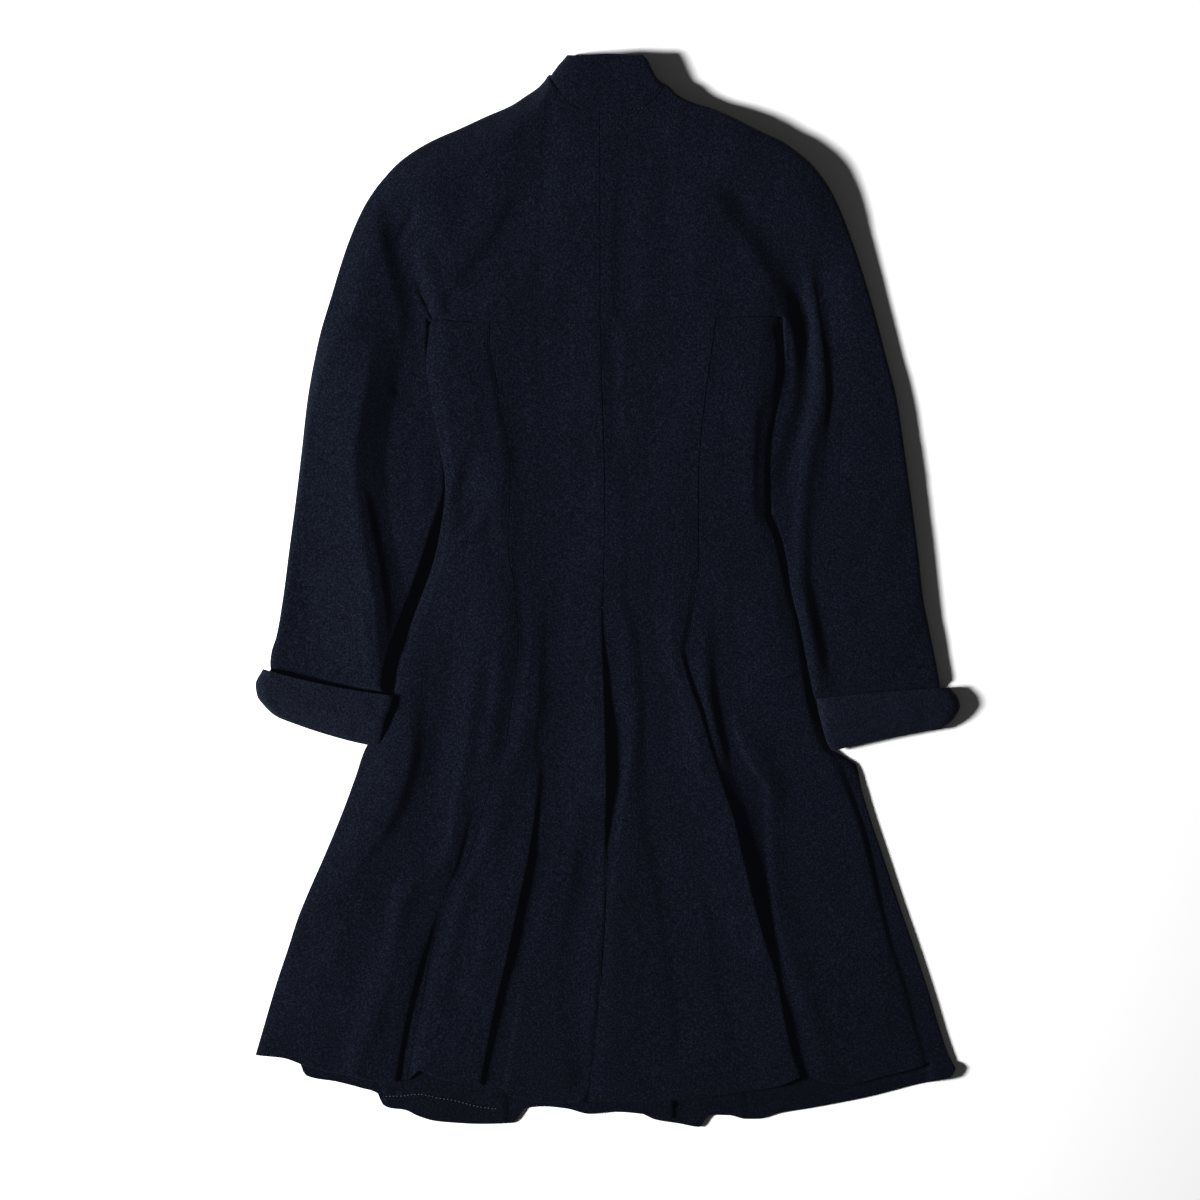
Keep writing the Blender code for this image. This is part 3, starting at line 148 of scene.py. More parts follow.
SIDE_R = [
    ("thin_ridge", 1077, [(321, 723), (410, 711), (480, 706), (560, 706), (600, 703.5), (650, 705), (690, 707.5), (720, 712.5),
        (750, 720), (775, 727.5), (800, 736.5), (850, 751), (905, 763.5), (950, 776), (1000, 789),
        (1055, 801.5), (1077, 807.5)]),
    ("hidden_valley", 1078, [(321, 731), (480, 714), (560, 715), (590, 716), (620, 717.5), (660, 717.5), (700, 720), (730, 725),
        (760, 733), (790, 742), (815, 750), (850, 757.5), (905, 767), (950, 779), (1000, 793), (1055, 806.5),
        (1077, 812.5)]),
    ("eighth_foot", 1080, [(321, 738), (480, 722), (560, 723), (620, 724), (700, 727), (735, 732), (755, 740), (775, 751.5),
        (788, 762), (820, 763.5), (860, 765), (890, 768), (920, 773), (945, 779.5), (1000, 798), (1055, 812)]),
    ("eighth_crest", 1083, [(321, 746), (480, 732), (560, 733), (620, 734), (700, 738), (735, 742), (755, 750), (775, 761),
        (788, 770.5), (820, 771.5), (860, 773), (890, 775.5), (920, 780), (945, 787), (1000, 805), (1055, 822)]),
    ("small_valley", 1084, [(321, 754), (480, 741), (560, 746), (640, 755), (700, 765), (720, 771), (740, 778), (765, 784),
        (785, 791), (800, 791), (830, 787), (850, 787), (870, 791), (895, 797), (912, 803), (950, 813),
        (1000, 824), (1055, 842)]),
    ("side_plain", 1077, [(321, 762), (416, 753), (499, 751), (560, 767), (640, 778), (700, 789), (740, 801), (785, 815),
        (850, 826), (900, 838), (1000, 862), (1055, 876)]),
    ("edge_crest", 1066, [(321, 769), (341, 774), (366, 776), (390, 771), (416, 762.5), (466, 759), (499, 758.5), (511, 760),
        (529, 770), (560, 778), (605, 786), (650, 796), (700, 804), (725, 811), (745, 818), (757, 829),
        (787, 843), (827, 858), (870, 869), (907, 877.5), (945, 887), (988, 901), (1020, 909.5), (1055, 919)]),
    ("edge_step", 1063, [(321, 775), (341, 780.5), (366, 781.5), (390, 779), (416, 772.5), (450, 767), (482, 766), (511, 767.5),
        (525, 772), (540, 779), (560, 784), (605, 793), (650, 803), (700, 811), (725, 817.5), (745, 824),
        (757, 836), (764, 842), (787, 851), (827, 865), (870, 875.5), (907, 884), (945, 894), (988, 908),
        (1020, 916), (1055, 926)]),
    ("edge", 1068, [(321, 779), (343, 785), (366, 786), (390, 783.5), (412, 778.5), (430, 773), (450, 771), (482, 770),
        (510, 771.5), (525, 776), (540, 783), (560, 788), (580, 791.5), (605, 797), (625, 801.5), (650, 807),
        (675, 811), (700, 814.5), (725, 820.5), (745, 826.5), (757, 840), (764, 851), (787, 859.5),
        (808, 865.5), (859, 882.5), (907, 898.5), (953, 914.5), (993, 927.5), (1036, 940.5), (1068, 951.5)]),
]

# On the right the cloth turns down to the floor just past its edge.
SIDE_R.append(("edge_foot", 1068, [(y, x + 1.3) for y, x in SIDE_R[-1][2]]))
FOOT_Z = 3.2

# Height of the top face on each of those lines, at places down the back: y, then one number a line
SECTIONS = [
    (321, (8, 11, 12.4, 12.8, 12.6, 12.4, 12.2, 12, 11.8, 11.5), (11.2, 10.9, 10.7, 10.6, 10.6, 10.8, 11.1, 11.5, 11.8, 12, 12),
     (11.9, 11.7, 11.8, 12.2, 13, 14.2, 15.2, 15.9), (16.2, 16.7, 17.1, 17.4, 17.6, 17.4, 16.4, 14.6, 12)),
    (334, (8.6, 11.4, 13.2, 13.6, 13.5, 13.2, 12.9, 12.6, 12.2, 11.3), (10.8, 10.2, 9.9, 9.7, 9.6, 9.9, 10.3, 10.9, 11.4, 11.7, 11.7),
     (11.6, 11.2, 11.2, 11.8, 12.7, 13.9, 14.9, 15.7), (15.9, 16.5, 16.9, 17.3, 17.8, 17.8, 15, 9.6, 3.4)),
    (360, (9.8, 12.5, 15, 15.4, 15.3, 14.8, 14.3, 13.8, 12.8, 10.9), (9.9, 8.9, 8.4, 8.1, 7.8, 8.1, 8.8, 9.8, 10.5, 11, 10.9),
     (10.9, 10, 9.9, 10.8, 12, 13.4, 14.4, 15.2), (15.4, 16, 16.5, 17.2, 18, 18.6, 15.4, 9, 3.2)),
    (440, (10, 12.6, 15, 15.4, 14.9, 14.5, 14.2, 14.1, 14.3, 11.7), (10.1, 9, 8.3, 7.9, 7.4, 7.6, 8.4, 9.3, 10, 10.6, 10.7),
     (10.8, 10.2, 9.4, 9.2, 10.4, 12, 12.8, 13.3), (13.8, 14.6, 15.2, 16.2, 17.2, 17.8, 14, 10, 3.2)),
    (500, (6, 11, 11, 9.6, 9, 9.6, 10.5, 11.2, 12.6, 10.4), (9.2, 8.1, 7.7, 7.5, 7.5, 7.8, 8.2, 9.2, 10.3, 11.5, 11.7),
     (12, 12.5, 12, 12.6, 13.6, 14.2, 14.6, 14.8), (14.8, 15.2, 15.6, 16.2, 17, 17.6, 14.5, 10.5, 3.2)),
    (560, (3, 9.5, 11.5, 13, 13.5, 14.2, 14.6, 14, 13.7, 13.3), (12.2, 11, 9.9, 9.4, 9, 9.3, 10.2, 11.5, 12.8, 13.9, 14.2),
     (14.5, 15, 14.5, 14.4, 15.4, 16, 15.8, 15.4), (15.6, 15.8, 15.8, 15.6, 15.2, 15.4, 14.2, 8, 3.2)),
    (620, (3, 9.5, 11, 11.4, 12.4, 13.4, 15.4, 16, 16.2, 13.4), (12.3, 12.7, 12, 11.5, 10.3, 9.5, 10.6, 12, 13.4, 14, 12.6),
     (12.4, 12.9, 10.2, 9.6, 10.9, 12.2, 11.6, 9.6), (9.8, 8.6, 8.8, 9.4, 12.2, 13.6, 11.6, 8, 3.2)),
    (700, (5, 11, 12.4, 9.4, 8.8, 12, 15.3, 13.8, 15.6, 12.4), (12.8, 14.3, 14, 12.2, 9.6, 8.6, 9.4, 11.8, 13.7, 14.3, 8.4),
     (7.8, 10.2, 7.8, 7.6, 9, 11.6, 12.2, 8.6), (11.6, 6, 5.6, 6.4, 9.2, 10.6, 11, 6.8, 3.4)),
    (740, (5, 11, 18, 11.4, 8.8, 11.2, 14.8, 13.8, 14.8, 11.4), (12, 13.8, 12, 10, 8.2, 7.6, 8.8, 12, 14.4, 15.6, 6.8),
     (7, 9.8, 7, 7, 9.8, 12.8, 13.2, 10.6), (10.9, 5.4, 5, 8.4, 6.2, 8, 9.6, 7.4, 5.4)),
    (780, (3, 8.5, 21.5, 14, 10.8, 13.2, 15.8, 14.6, 15, 15.6), (16, 16.2, 14, 12.6, 9.4, 8.4, 9.6, 12.6, 14.6, 15.6, 6.8),
     (7, 10, 7.2, 8.2, 11, 13.6, 14.2, 11), (8.6, 5.8, 5, 8.8, 5.6, 7.4, 9.6, 6, 5.6)),
    (820, (3, 9, 19.5, 13.4, 11.6, 13.2, 16, 14.6, 12.2, 12.8), (14, 15.2, 12.8, 12.6, 8.8, 8.2, 9, 12.2, 12.6, 12.4, 7),
     (7.6, 9.8, 7, 8.2, 11.4, 15, 17.5, 10), (8.6, 7, 5, 6.4, 5.4, 7, 9.4, 5.6, 5.8)),
    (860, (3, 9, 15, 13, 11.8, 13, 15, 13, 9.8, 10.2), (11.2, 12.8, 12.6, 14, 8.4, 6.8, 8, 9.2, 9.2, 9.6, 7.2),
     (7.6, 9, 7.2, 8.8, 12, 16, 18, 8.5), (6.6, 5.4, 4.6, 6.6, 5.2, 6.8, 9, 5.4, 5.8)),
    (900, (3, 9.5, 13.5, 13.6, 10.8, 14.4, 11.6, 9.2, 8.4, 8), (8.4, 10, 12.2, 14.2, 8, 6.4, 7.8, 7.8, 8.6, 9, 7.8),
     (8.6, 9.8, 7.4, 8, 10.8, 14.4, 16.2, 8), (6, 4.8, 4.4, 6.6, 5.2, 6.6, 8.8, 5.2, 5.8)),
    (940, (3, 7, 9.4, 12.6, 13.6, 16.4, 15.2, 11.8, 9, 7.6), (7.8, 9.8, 12, 14.2, 7.6, 6, 7.2, 6.8, 8, 7.8, 7.2),
     (7.9, 9, 7.2, 7.4, 8.4, 11, 12.8, 6), (5.2, 4.6, 5, 7, 5.6, 6.4, 8.6, 5.2, 5.8)),
    (980, (3, 7, 9.6, 11.6, 12.2, 16, 15.2, 12, 7.4, 6.8), (7.6, 9.6, 11.2, 12.4, 6.8, 5.8, 6.8, 6.8, 7.8, 8.2, 7.4),
     (7.9, 9.4, 7, 7, 7.4, 8.8, 9, 6.2), (5.8, 5.6, 6.4, 7.4, 6, 6.6, 8.4, 5.2, 5.8)),
    (1020, (3, 7, 9, 10.8, 11.4, 15.4, 14.4, 11.4, 7, 6.6), (7.4, 9.8, 10.8, 12, 7, 5.6, 7.4, 7, 7.8, 8.6, 7),
     (7.5, 8.6, 6.8, 6.8, 7, 9.8, 11.6, 5.8), (5.2, 5, 5.8, 7.2, 6, 6.6, 8.2, 5.2, 5.8)),
    (1060, (3, 7, 8.8, 10.6, 11, 14.6, 13.2, 11, 6.6, 6.6), (8.2, 10.2, 10.4, 11.2, 6.6, 5.6, 7.4, 7, 7.6, 8.6, 6.7),
     (7.6, 8.6, 6.8, 6.6, 6.8, 9.6, 11.2, 5.6), (5.2, 5.4, 6, 7, 6, 7, 8, 5.4, 5.6)),
]

# Yoke cut in one with the sleeve. Each row is a line across it, from the shoulder and over-arm
# edge to the yoke seam and then the under-arm edge.
# columns: outer x, outer y, inner x, inner y, height near the outer edge, height near the inner
# edge, width of the outer roll (0: sewn, no roll), width of the inner roll (0: yoke seam)
SLEEVE_L = [
    (600, 111.6, 600.5, 322, 22, 12, 0, 0), (583, 110, 576, 322, 21.8, 12, 0, 0), (569, 103, 556, 322, 21.4, 12, 0, 0),
    (560, 92, 543, 322, 20.8, 12, 0, 0), (549.4, 74.6, 534, 322, 19.8, 12, 18, 0), (544.4, 81, 528, 322, 20, 12, 22, 0), (537.5, 88, 523, 322, 20, 12, 26, 0),
    (526, 95.8, 517, 322, 20.2, 12, 29, 0), (512, 105, 508, 322, 21, 12, 32, 0), (487, 116, 486, 322, 21, 12, 40, 0),
    (461, 128, 472, 321.7, 20.6, 12, 46, 0), (431.5, 141, 458, 321.5, 20, 12.4, 46, 0), (410.5, 153.4, 450, 321.5, 19.6, 12.6, 46, 0),
    (397.5, 163.6, 445, 321.5, 19, 12.6, 44, 0), (384, 178, 439, 321.5, 18.5, 12.6, 42, 0), (374.5, 190, 434, 321.5, 18, 12.6, 40, 0),
    (363.5, 207.5, 429.2, 321.5, 17.6, 12.6, 38, 8), (347, 246, 428, 345, 17, 9.6, 36, 6), (331.3, 296, 431, 375, 16, 8.4, 32, 5),
    (319, 338, 436, 405, 14.4, 8, 20, 5), (307.3, 400, 442, 440, 11, 8, 8, 5), (301.6, 450, 446, 484, 9.4, 9.4, 5, 5),
    (295.6, 500, 433, 532, 8.4, 13, 5, 4.5), (289, 550, 421, 569, 8.4, 13, 5, 4.5), (282.5, 600, 406, 611, 8.4, 12, 5, 4.5),
    (276, 637, 394, 645, 8, 10.6, 5, 4.5), (271.5, 651, 389, 663, 7.6, 9, 5, 5), (270, 664, 387, 686, 7.2, 8.4, 6, 8),
    (271.5, 675, 385, 699, 6.8, 8.2, 6, 8), (274.5, 692, 378, 713, 6.6, 8, 6, 8),
]
SLEEVE_R = [
    (600, 111.6, 600.5, 322, 22, 12, 0, 0), (625, 111, 624, 322, 22.6, 12, 0, 0), (645, 107, 648, 321, 23.2, 12.2, 0, 0),
    (656, 98, 659, 320.6, 23.8, 12.6, 0, 0), (665.5, 84.4, 668, 320, 24.4, 13, 3, 0), (678, 95, 678, 319.3, 25, 13.6, 3, 0),
    (686, 99.4, 686, 319, 25.4, 14.2, 3, 0), (698, 104.2, 695, 318.4, 26.4, 15, 3, 0), (710, 107.6, 705, 317.9, 27.4, 15.8, 3, 0),
    (728, 114.8, 718, 317.3, 28.6, 16.6, 3, 0), (767, 134.3, 740, 316.8, 29.4, 18, 3, 0), (781, 140.5, 748, 316.6, 28.4, 18.4, 3, 0),
    (797, 151.5, 757, 316.4, 27, 18.6, 3, 0), (811, 163.5, 764, 316.4, 25.6, 18.6, 3, 0), (822, 176.5, 770, 316.6, 24, 17.6, 3, 0),
    (831, 190.5, 775.5, 316.6, 22.6, 16.4, 3, 0), (840, 209, 780.5, 316.8, 20, 15, 3, 0), (852, 240, 783, 323, 17, 13.6, 3, 4),
    (862, 270, 783, 345, 15.4, 11.4, 3, 5), (874, 310, 782, 368, 14.4, 9.4, 3, 5), (886, 356, 778.5, 391, 14, 8, 3, 5),
    (897, 400, 772, 420, 14, 8, 3, 5), (904.5, 450, 765.5, 458, 14, 8, 3, 6), (911.5, 500, 767, 506, 14, 8.6, 3, 8), (918.5, 555, 782, 548, 14, 10, 3, 6),
    (923.5, 600, 790, 592, 13.6, 10.6, 3, 6), (929.5, 630, 799, 626, 13, 11, 3, 6), (934.5, 655, 806, 663, 12, 10.6, 3, 8),
    (938.5, 676, 812, 690, 11.4, 10, 3, 8), (940, 692, 816, 703, 11, 10, 3, 8), (940, 706, 820, 717, 11, 10, 3, 8),
]

# Soft troughs and ridges of the yoke and sleeves. A tent has straight sides; the rest are rounded.
# columns: name, height, half width on the left, half width on the right, fade in, fade out, path of (x, y)
SLEEVE_FOLDS = [
    ("left_armpit_drag", -7.2, 22, 48, .3, .3, [(391, 196), (397, 230), (403, 255), (411, 282), (418, 305), (420, 345)]),
    ("left_armpit_small", -1.6, 6, 8, .3, .3, [(417, 207), (405, 227), (397, 243)]),
    ("left_armpit_ridge", 3.4, 10, 16, .3, .15, [(418, 242), (424, 262), (430, 285), (434, 304), (436, 320)]),
    ("left_yoke_drag", -3.2, 14, 46, .3, .2, [(524, 178), (514, 214), (498, 246), (474, 274), (456, 296), (452, 318)]),
    ("left_yoke_lift", 1.2, 16, 18, .4, .4, [(500, 190), (478, 232), (452, 262), (436, 290)]),
    ("centre_left_soft", -1.6, 14, 18, .4, .1, [(541, 245), (541, 290), (541, 322)]),
    ("centre_right_soft", -2.0, 12, 26, .3, .1, [(624, 170), (621, 240), (620, 285), (620, 322)]),
    ("left_sleeve_tent", 14.5, 64, 31, .25, .04, [(376, 322), (363, 400), (354, 450), (356, 500), (364, 550), (374, 600), (376, 640), (379, 700)]),
    ("left_elbow", -2.0, 6, 20, .25, .3, [(366, 478), (372, 500), (378, 530), (384, 560), (390, 600), (393, 640)]),
    ("left_elbow_smudge", -2.2, 14, 15, .5, .5, [(394, 398), (407, 394), (422, 402)]),
    ("left_inner_light", 1.2, 14, 14, .4, .4, [(424, 440), (424, 485), (418, 520)]),
    ("left_wrist_streak", 1.6, 7, 8, .4, .2, [(361, 608), (366, 640), (370, 678)]),
    ("right_yoke_drag", -7.4, 24, 60, .3, .3, [(722, 172), (743, 202), (762, 228), (780, 256), (795, 284), (806, 318), (811, 350)]),
    ("right_armpit", -6.0, 15, 10, .25, .25, [(796, 278), (804, 315), (807, 345), (808, 372), (805, 400), (798, 430), (788, 465), (780, 500)]),
    ("right_hook", 2.0, 7, 11, .12, .2, [(781, 316), (791, 326), (795, 342), (796, 370), (796, 396), (790, 420)]),
    ("right_inner_ridge", 4.0, 11, 12, .2, .1, [(806, 244), (812, 285), (817, 310), (820, 336), (822, 372), (821, 396), (817, 420), (810, 448), (805, 480), (802, 516), (801, 545), (801, 580), (808, 612), (815, 645), (822, 692)]),
    ("right_outer_valley", -2.4, 6, 34, .2, .4, [(815, 262), (821, 305), (828, 350), (832, 395), (829, 440), (824, 480), (819, 520)]),
    ("right_wrist_shade", -3.0, 12, 34, .35, .35, [(812, 575), (817, 610), (824, 645), (832, 682)]),
]

# Smaller creases of the back panels, in the same columns.
BODY_FOLDS = [
    ("left_waist_valley", -2.0, 11, 12, .4, .4, [(474, 438), (466, 478), (454, 516)]),
    ("left_waist_light", 2.0, 9, 10, .4, .4, [(490, 500), (480, 524), (462, 538), (444, 552)]),
    ("left_waist_crease", -1.0, 6, 6, .4, .4, [(520, 556), (540, 552), (562, 544)]),
    ("left_waist_crease_low", .8, 7, 7, .4, .4, [(516, 570), (536, 566), (560, 556)]),
    ("right_waist_crease", -.7, 8, 8, .4, .4, [(628, 532), (656, 536), (690, 534)]),
    ("centre_left_soft", -1.0, 13, 12, .1, .4, [(541, 322), (541, 360), (542, 395)]),
    ("centre_right_soft", -1.6, 14, 13, .1, .4, [(614, 322), (612, 360), (612, 400), (616, 440), (618, 480)]),
    ("side_low_light", 1.0, 22, 22, .5, .5, [(318, 960), (300, 1010)]),
    ("soft_low", -4.2, 17, 26, .25, .06, [(590, 830), (583, 890), (573, 940), (569, 980), (573, 1020), (580, 1066), (581, 1096)]),
    ("fifth_low", -2.6, 11, 26, .2, .1, [(648, 800), (656, 855), (665, 900), (670, 940), (677, 980), (682, 1020), (682, 1066)]),
    ("sixth_low", -2.0, 11, 28, .25, .2, [(704, 870), (713, 910), (717, 940), (722, 980), (729, 1020), (733, 1060)]),
    ("third_low", -1.8, 14, 22, .3, .2, [(488, 850), (472, 920), (458, 980), (452, 1030)]),
]

# Turned-back cuffs. Rows from the free edge to the fold at the wrist.
# columns: share of the way, left x, left y, right x, right y, thickness, lift of the inner end
CUFF_L = [(0, 263, 669, 396, 696, 18, 3.4), (.25, 255.5, 684, 393.5, 707, 19, 4.5), (.5, 257, 695, 388.5, 717, 19, 6.5),
          (.75, 265, 706, 385, 728, 18, 8), (.92, 273, 713.5, 381.5, 740, 15.5, 8), (1, 279, 717, 378.5, 747, 13, 7.6)]
CUFF_R = [(0, 816.5, 699, 949, 687.5, 18, 2), (.25, 818.5, 712, 958, 698, 19, 3), (.5, 821.5, 724, 960, 706, 19, 4.5),
          (.75, 825, 736, 956, 715, 18, 6), (.92, 828.5, 745, 949, 723, 15.5, 6.5), (1, 832.5, 751, 941, 728.5, 13, 6)]
CUFF_BOW_L, CUFF_BOW_R = 3.0, -1.2

# Hem of the fronts, which shows below the shorter back hem.
FRONT_HEM_L = [(256, 1053), (300, 1064), (305, 1075), (338, 1082), (361, 1088), (379, 1094.5), (381.5, 1103), (390, 1108),
               (405, 1110), (418, 1116), (435, 1121), (457, 1123), (478, 1124), (511, 1123), (520, 1115), (524, 1108.5),
               (543, 1106.5), (566, 1108.5), (590, 1114), (616, 1112), (642, 1114), (655, 1117), (673, 1118)]
FRONT_HEM_R = [(566, 1096), (600, 1104), (636, 1111), (645, 1115), (655, 1119.5), (679, 1123.5), (700, 1127), (704, 1121), (711, 1115),
               (729, 1115.3), (746, 1119), (757, 1119), (778, 1113.5), (811, 1108), (843, 1102), (867, 1097), (894, 1090),
               (913, 1085), (935, 1081), (946, 1079), (951, 1077), (954, 1073), (956, 1068)]
FRONT_EDGE_R = [(318, 777), (343, 783), (366, 784), (390, 781.5), (412, 776), (430, 771), (482, 768), (510, 769),
                (525, 774), (540, 781), (560, 786), (605, 795), (650, 805), (700, 812.5), (725, 818.5), (745, 825),
                (757, 845), (764, 856), (787, 861), (808, 867), (859, 884), (907, 900), (953, 916), (993, 929),
                (1036, 942), (1068, 953), (1078, 957)]
HEM_LINE_L = [(381, 1095.5), (400, 1095), (418, 1093), (439, 1097), (457, 1100), (478, 1105.5), (502, 1109), (524, 1100)]
HEM_LINE_R = [(672, 1107), (700, 1103), (730, 1106), (757, 1106), (774, 1103), (800, 1097.5), (826, 1095), (870, 1084), (930, 1068), (957, 1060)]


# ------------------------------------------------------------------ form
def pchip(xs, ys, x):
    """Smooth curve through (xs, ys) that never overshoots, read at x."""
    xs, ys, x = np.asarray(xs, float), np.asarray(ys, float), np.asarray(x, float)
    h = np.diff(xs)
    d = np.diff(ys) / h
    m = np.zeros_like(ys)
    m[0], m[-1] = d[0], d[-1]
    if len(xs) > 2:
        same = d[:-1] * d[1:] > 0
        a, b = np.where(same, d[:-1], 1), np.where(same, d[1:], 1)
        w1, w2 = 2 * h[1:] + h[:-1], h[1:] + 2 * h[:-1]
        m[1:-1] = np.where(same, (w1 + w2) / (w1 / a + w2 / b), 0)
    i = np.clip(np.searchsorted(xs, x) - 1, 0, len(h) - 1)
    t = np.clip((x - xs[i]) / h[i], 0, 1)
    t2, t3 = t * t, t * t * t
    return ((2 * t3 - 3 * t2 + 1) * ys[i] + (t3 - 2 * t2 + t) * h[i] * m[i]
            + (3 * t2 - 2 * t3) * ys[i + 1] + (t3 - t2) * h[i] * m[i + 1])


def along(table, x):
    return pchip([r[0] for r in table], [r[1] for r in table], x)


def smooth(t):
    t = np.clip(t, 0, 1)
    return t * t * (3 - 2 * t)


def roll(t):
    """Quarter of an ellipse: 0 at the edge, 1 where the roll ends."""
    t = np.clip(t, 0, 1)
    return np.sqrt(1 - (1 - t) ** 2)


def across(points, samples, steep_first=False, steep_last=False):
    """Every row of points, joined by one smooth curve; samples[k] holds the places read in span k."""
    step = np.linalg.norm(np.diff(points, axis=1), axis=2) + 1e-6
    slope = np.diff(points, axis=1) / step[..., None]
    m = np.zeros_like(points)
    m[:, 0], m[:, -1] = slope[:, 0], slope[:, -1]
    same = slope[:, :-1] * slope[:, 1:] > 0
    a, b = np.where(same, slope[:, :-1], 1), np.where(same, slope[:, 1:], 1)
    w1 = (2 * step[:, 1:] + step[:, :-1])[..., None]
    w2 = (step[:, 1:] + 2 * step[:, :-1])[..., None]
    m[:, 1:-1] = np.where(same, (w1 + w2) / (w1 / a + w2 / b), 0)
    for use, k in ((steep_first, 0), (steep_last, -1)):
        if use:   # the curve comes down upright on the edge
            rise = np.clip(np.abs(m[:, k, 2]) / (np.abs(m[:, k, 0]) + 1e-6) / .8, 0, 1)
            m[:, k, 0] *= 1 - rise
            m[:, k, 2] *= 1 + rise
    columns = []
    for k, ts in enumerate(samples):
        for t in ts:
            h00, h10 = 2 * t ** 3 - 3 * t ** 2 + 1, t ** 3 - 2 * t ** 2 + t
            h01, h11 = 3 * t ** 2 - 2 * t ** 3, t ** 3 - t ** 2
            s = step[:, k, None]
            columns.append(h00 * points[:, k] + h10 * s * m[:, k] + h01 * points[:, k + 1] + h11 * s * m[:, k + 1])
    return np.stack(columns, axis=1)


def fold_height(folds, x, y):
    """Sum of the soft troughs and ridges at board points x, y."""
    total = np.zeros_like(x)
    for _name, high, wide_l, wide_r, fade_in, fade_out, path in folds:
        path = np.array(path, float)
        a, b = path[:-1], path[1:]
        step = b - a
        length = np.hypot(step[:, 0], step[:, 1])
        start = np.concatenate([[0], np.cumsum(length)])
        best, side, where = np.full(x.shape, 1e9), np.zeros_like(x), np.zeros_like(x)
        for k in range(len(a)):
            t = np.clip(((x - a[k, 0]) * step[k, 0] + (y - a[k, 1]) * step[k, 1]) / length[k] ** 2, 0, 1)
            dx, dy = x - a[k, 0] - t * step[k, 0], y - a[k, 1] - t * step[k, 1]
            dist = np.hypot(dx, dy)
            near = dist < best
            best = np.where(near, dist, best)
            side = np.where(near, (dx * step[k, 1] - dy * step[k, 0]) / length[k], side)
            where = np.where(near, (start[k] + t * length[k]) / start[-1], where)
        blend = smooth((side + 3) / 6)
        width = wide_l + (wide_r - wide_l) * blend
        if _name.endswith("tent"):
            bump = np.clip((1.04 - np.sqrt((best / width) ** 2 + .0016)) / 1.0, 0, 1)
        else:
            bump = np.clip(1 - (best / width) ** 2, 0, 1) ** 2
        fade = np.clip(where / fade_in, 0, 1) * np.clip((1 - where) / fade_out, 0, 1)
        total += high * bump * fade * (2 - fade)
    return total


def ripple(x, y, size_x, size_y, seed):
    """Smooth irregular waves of about unit height."""
    lattice = np.random.default_rng(seed).standard_normal((96, 96))
    gx, gy = x / size_x + 7.3, y / size_y + 3.1
    i, j = np.floor(gx).astype(int), np.floor(gy).astype(int)
    fx, fy = gx - i, gy - j
    fx, fy = fx ** 3 * (fx * (6 * fx - 15) + 10), fy ** 3 * (fy * (6 * fy - 15) + 10)
    i, j = i % 95, j % 95
    return ((lattice[i, j] * (1 - fx) + lattice[i + 1, j] * fx) * (1 - fy)
            + (lattice[i, j + 1] * (1 - fx) + lattice[i + 1, j + 1] * fx) * fy)


def unevenness(x, y, down=1.0):
    """Cloth is never quite flat: long shallow waves, and smaller ones over them."""
    return (.38 * ripple(x, y, 34, 95 * down, 11) + .22 * ripple(x + y * .25, y, 21, 44, 12)
            + .09 * ripple(x, y, 10, 13, 13))


def even(n):
    return [k / n for k in range(n)]


def body_grid(lines, shares):
    """Top face of back panels: a column for each line, a row for each share of the way from yoke seam to hem."""
    grid = np.zeros((len(shares), len(lines), 3))
    heights = np.array([sum(row[1:], ()) + (FOOT_Z,) for row in SECTIONS], float)
    for j, (_name, hem, keys) in enumerate(lines):
        ys = [k[0] for k in keys]
        top = float(along(YOKE_SEAM, keys[0][1]))
        y = top + np.asarray(shares) * (hem - top)
        slope = (keys[-1][1] - keys[-2][1]) / (ys[-1] - ys[-2])
        grid[:, j, 0] = pchip(ys, [k[1] for k in keys], y) + slope * np.clip(y - ys[-1], 0, None)
        grid[:, j, 1] = y
        grid[:, j, 2] = pchip([row[0] for row in SECTIONS], heights[:, j], y)
    return grid


def board(points):
    p = np.asarray(points, float)
    near = 1 - p[..., 2] / EYE       # seen from above, what lies higher looks further out
    x, y = 600 + (p[..., 0] - 600) * near, 600 + (p[..., 1] - 600) * near
    return np.stack([x - BOARD_X, BOARD_Y - y, p[..., 2]], axis=-1) / 1000


def unit(v):
    return v / (np.linalg.norm(v, axis=-1, keepdims=True) + 1e-12)


def wrap_gradient(grid, closed):
    if not closed:
        return np.gradient(grid, axis=1)
    return (np.roll(grid, -1, axis=1) - np.roll(grid, 1, axis=1)) / 2


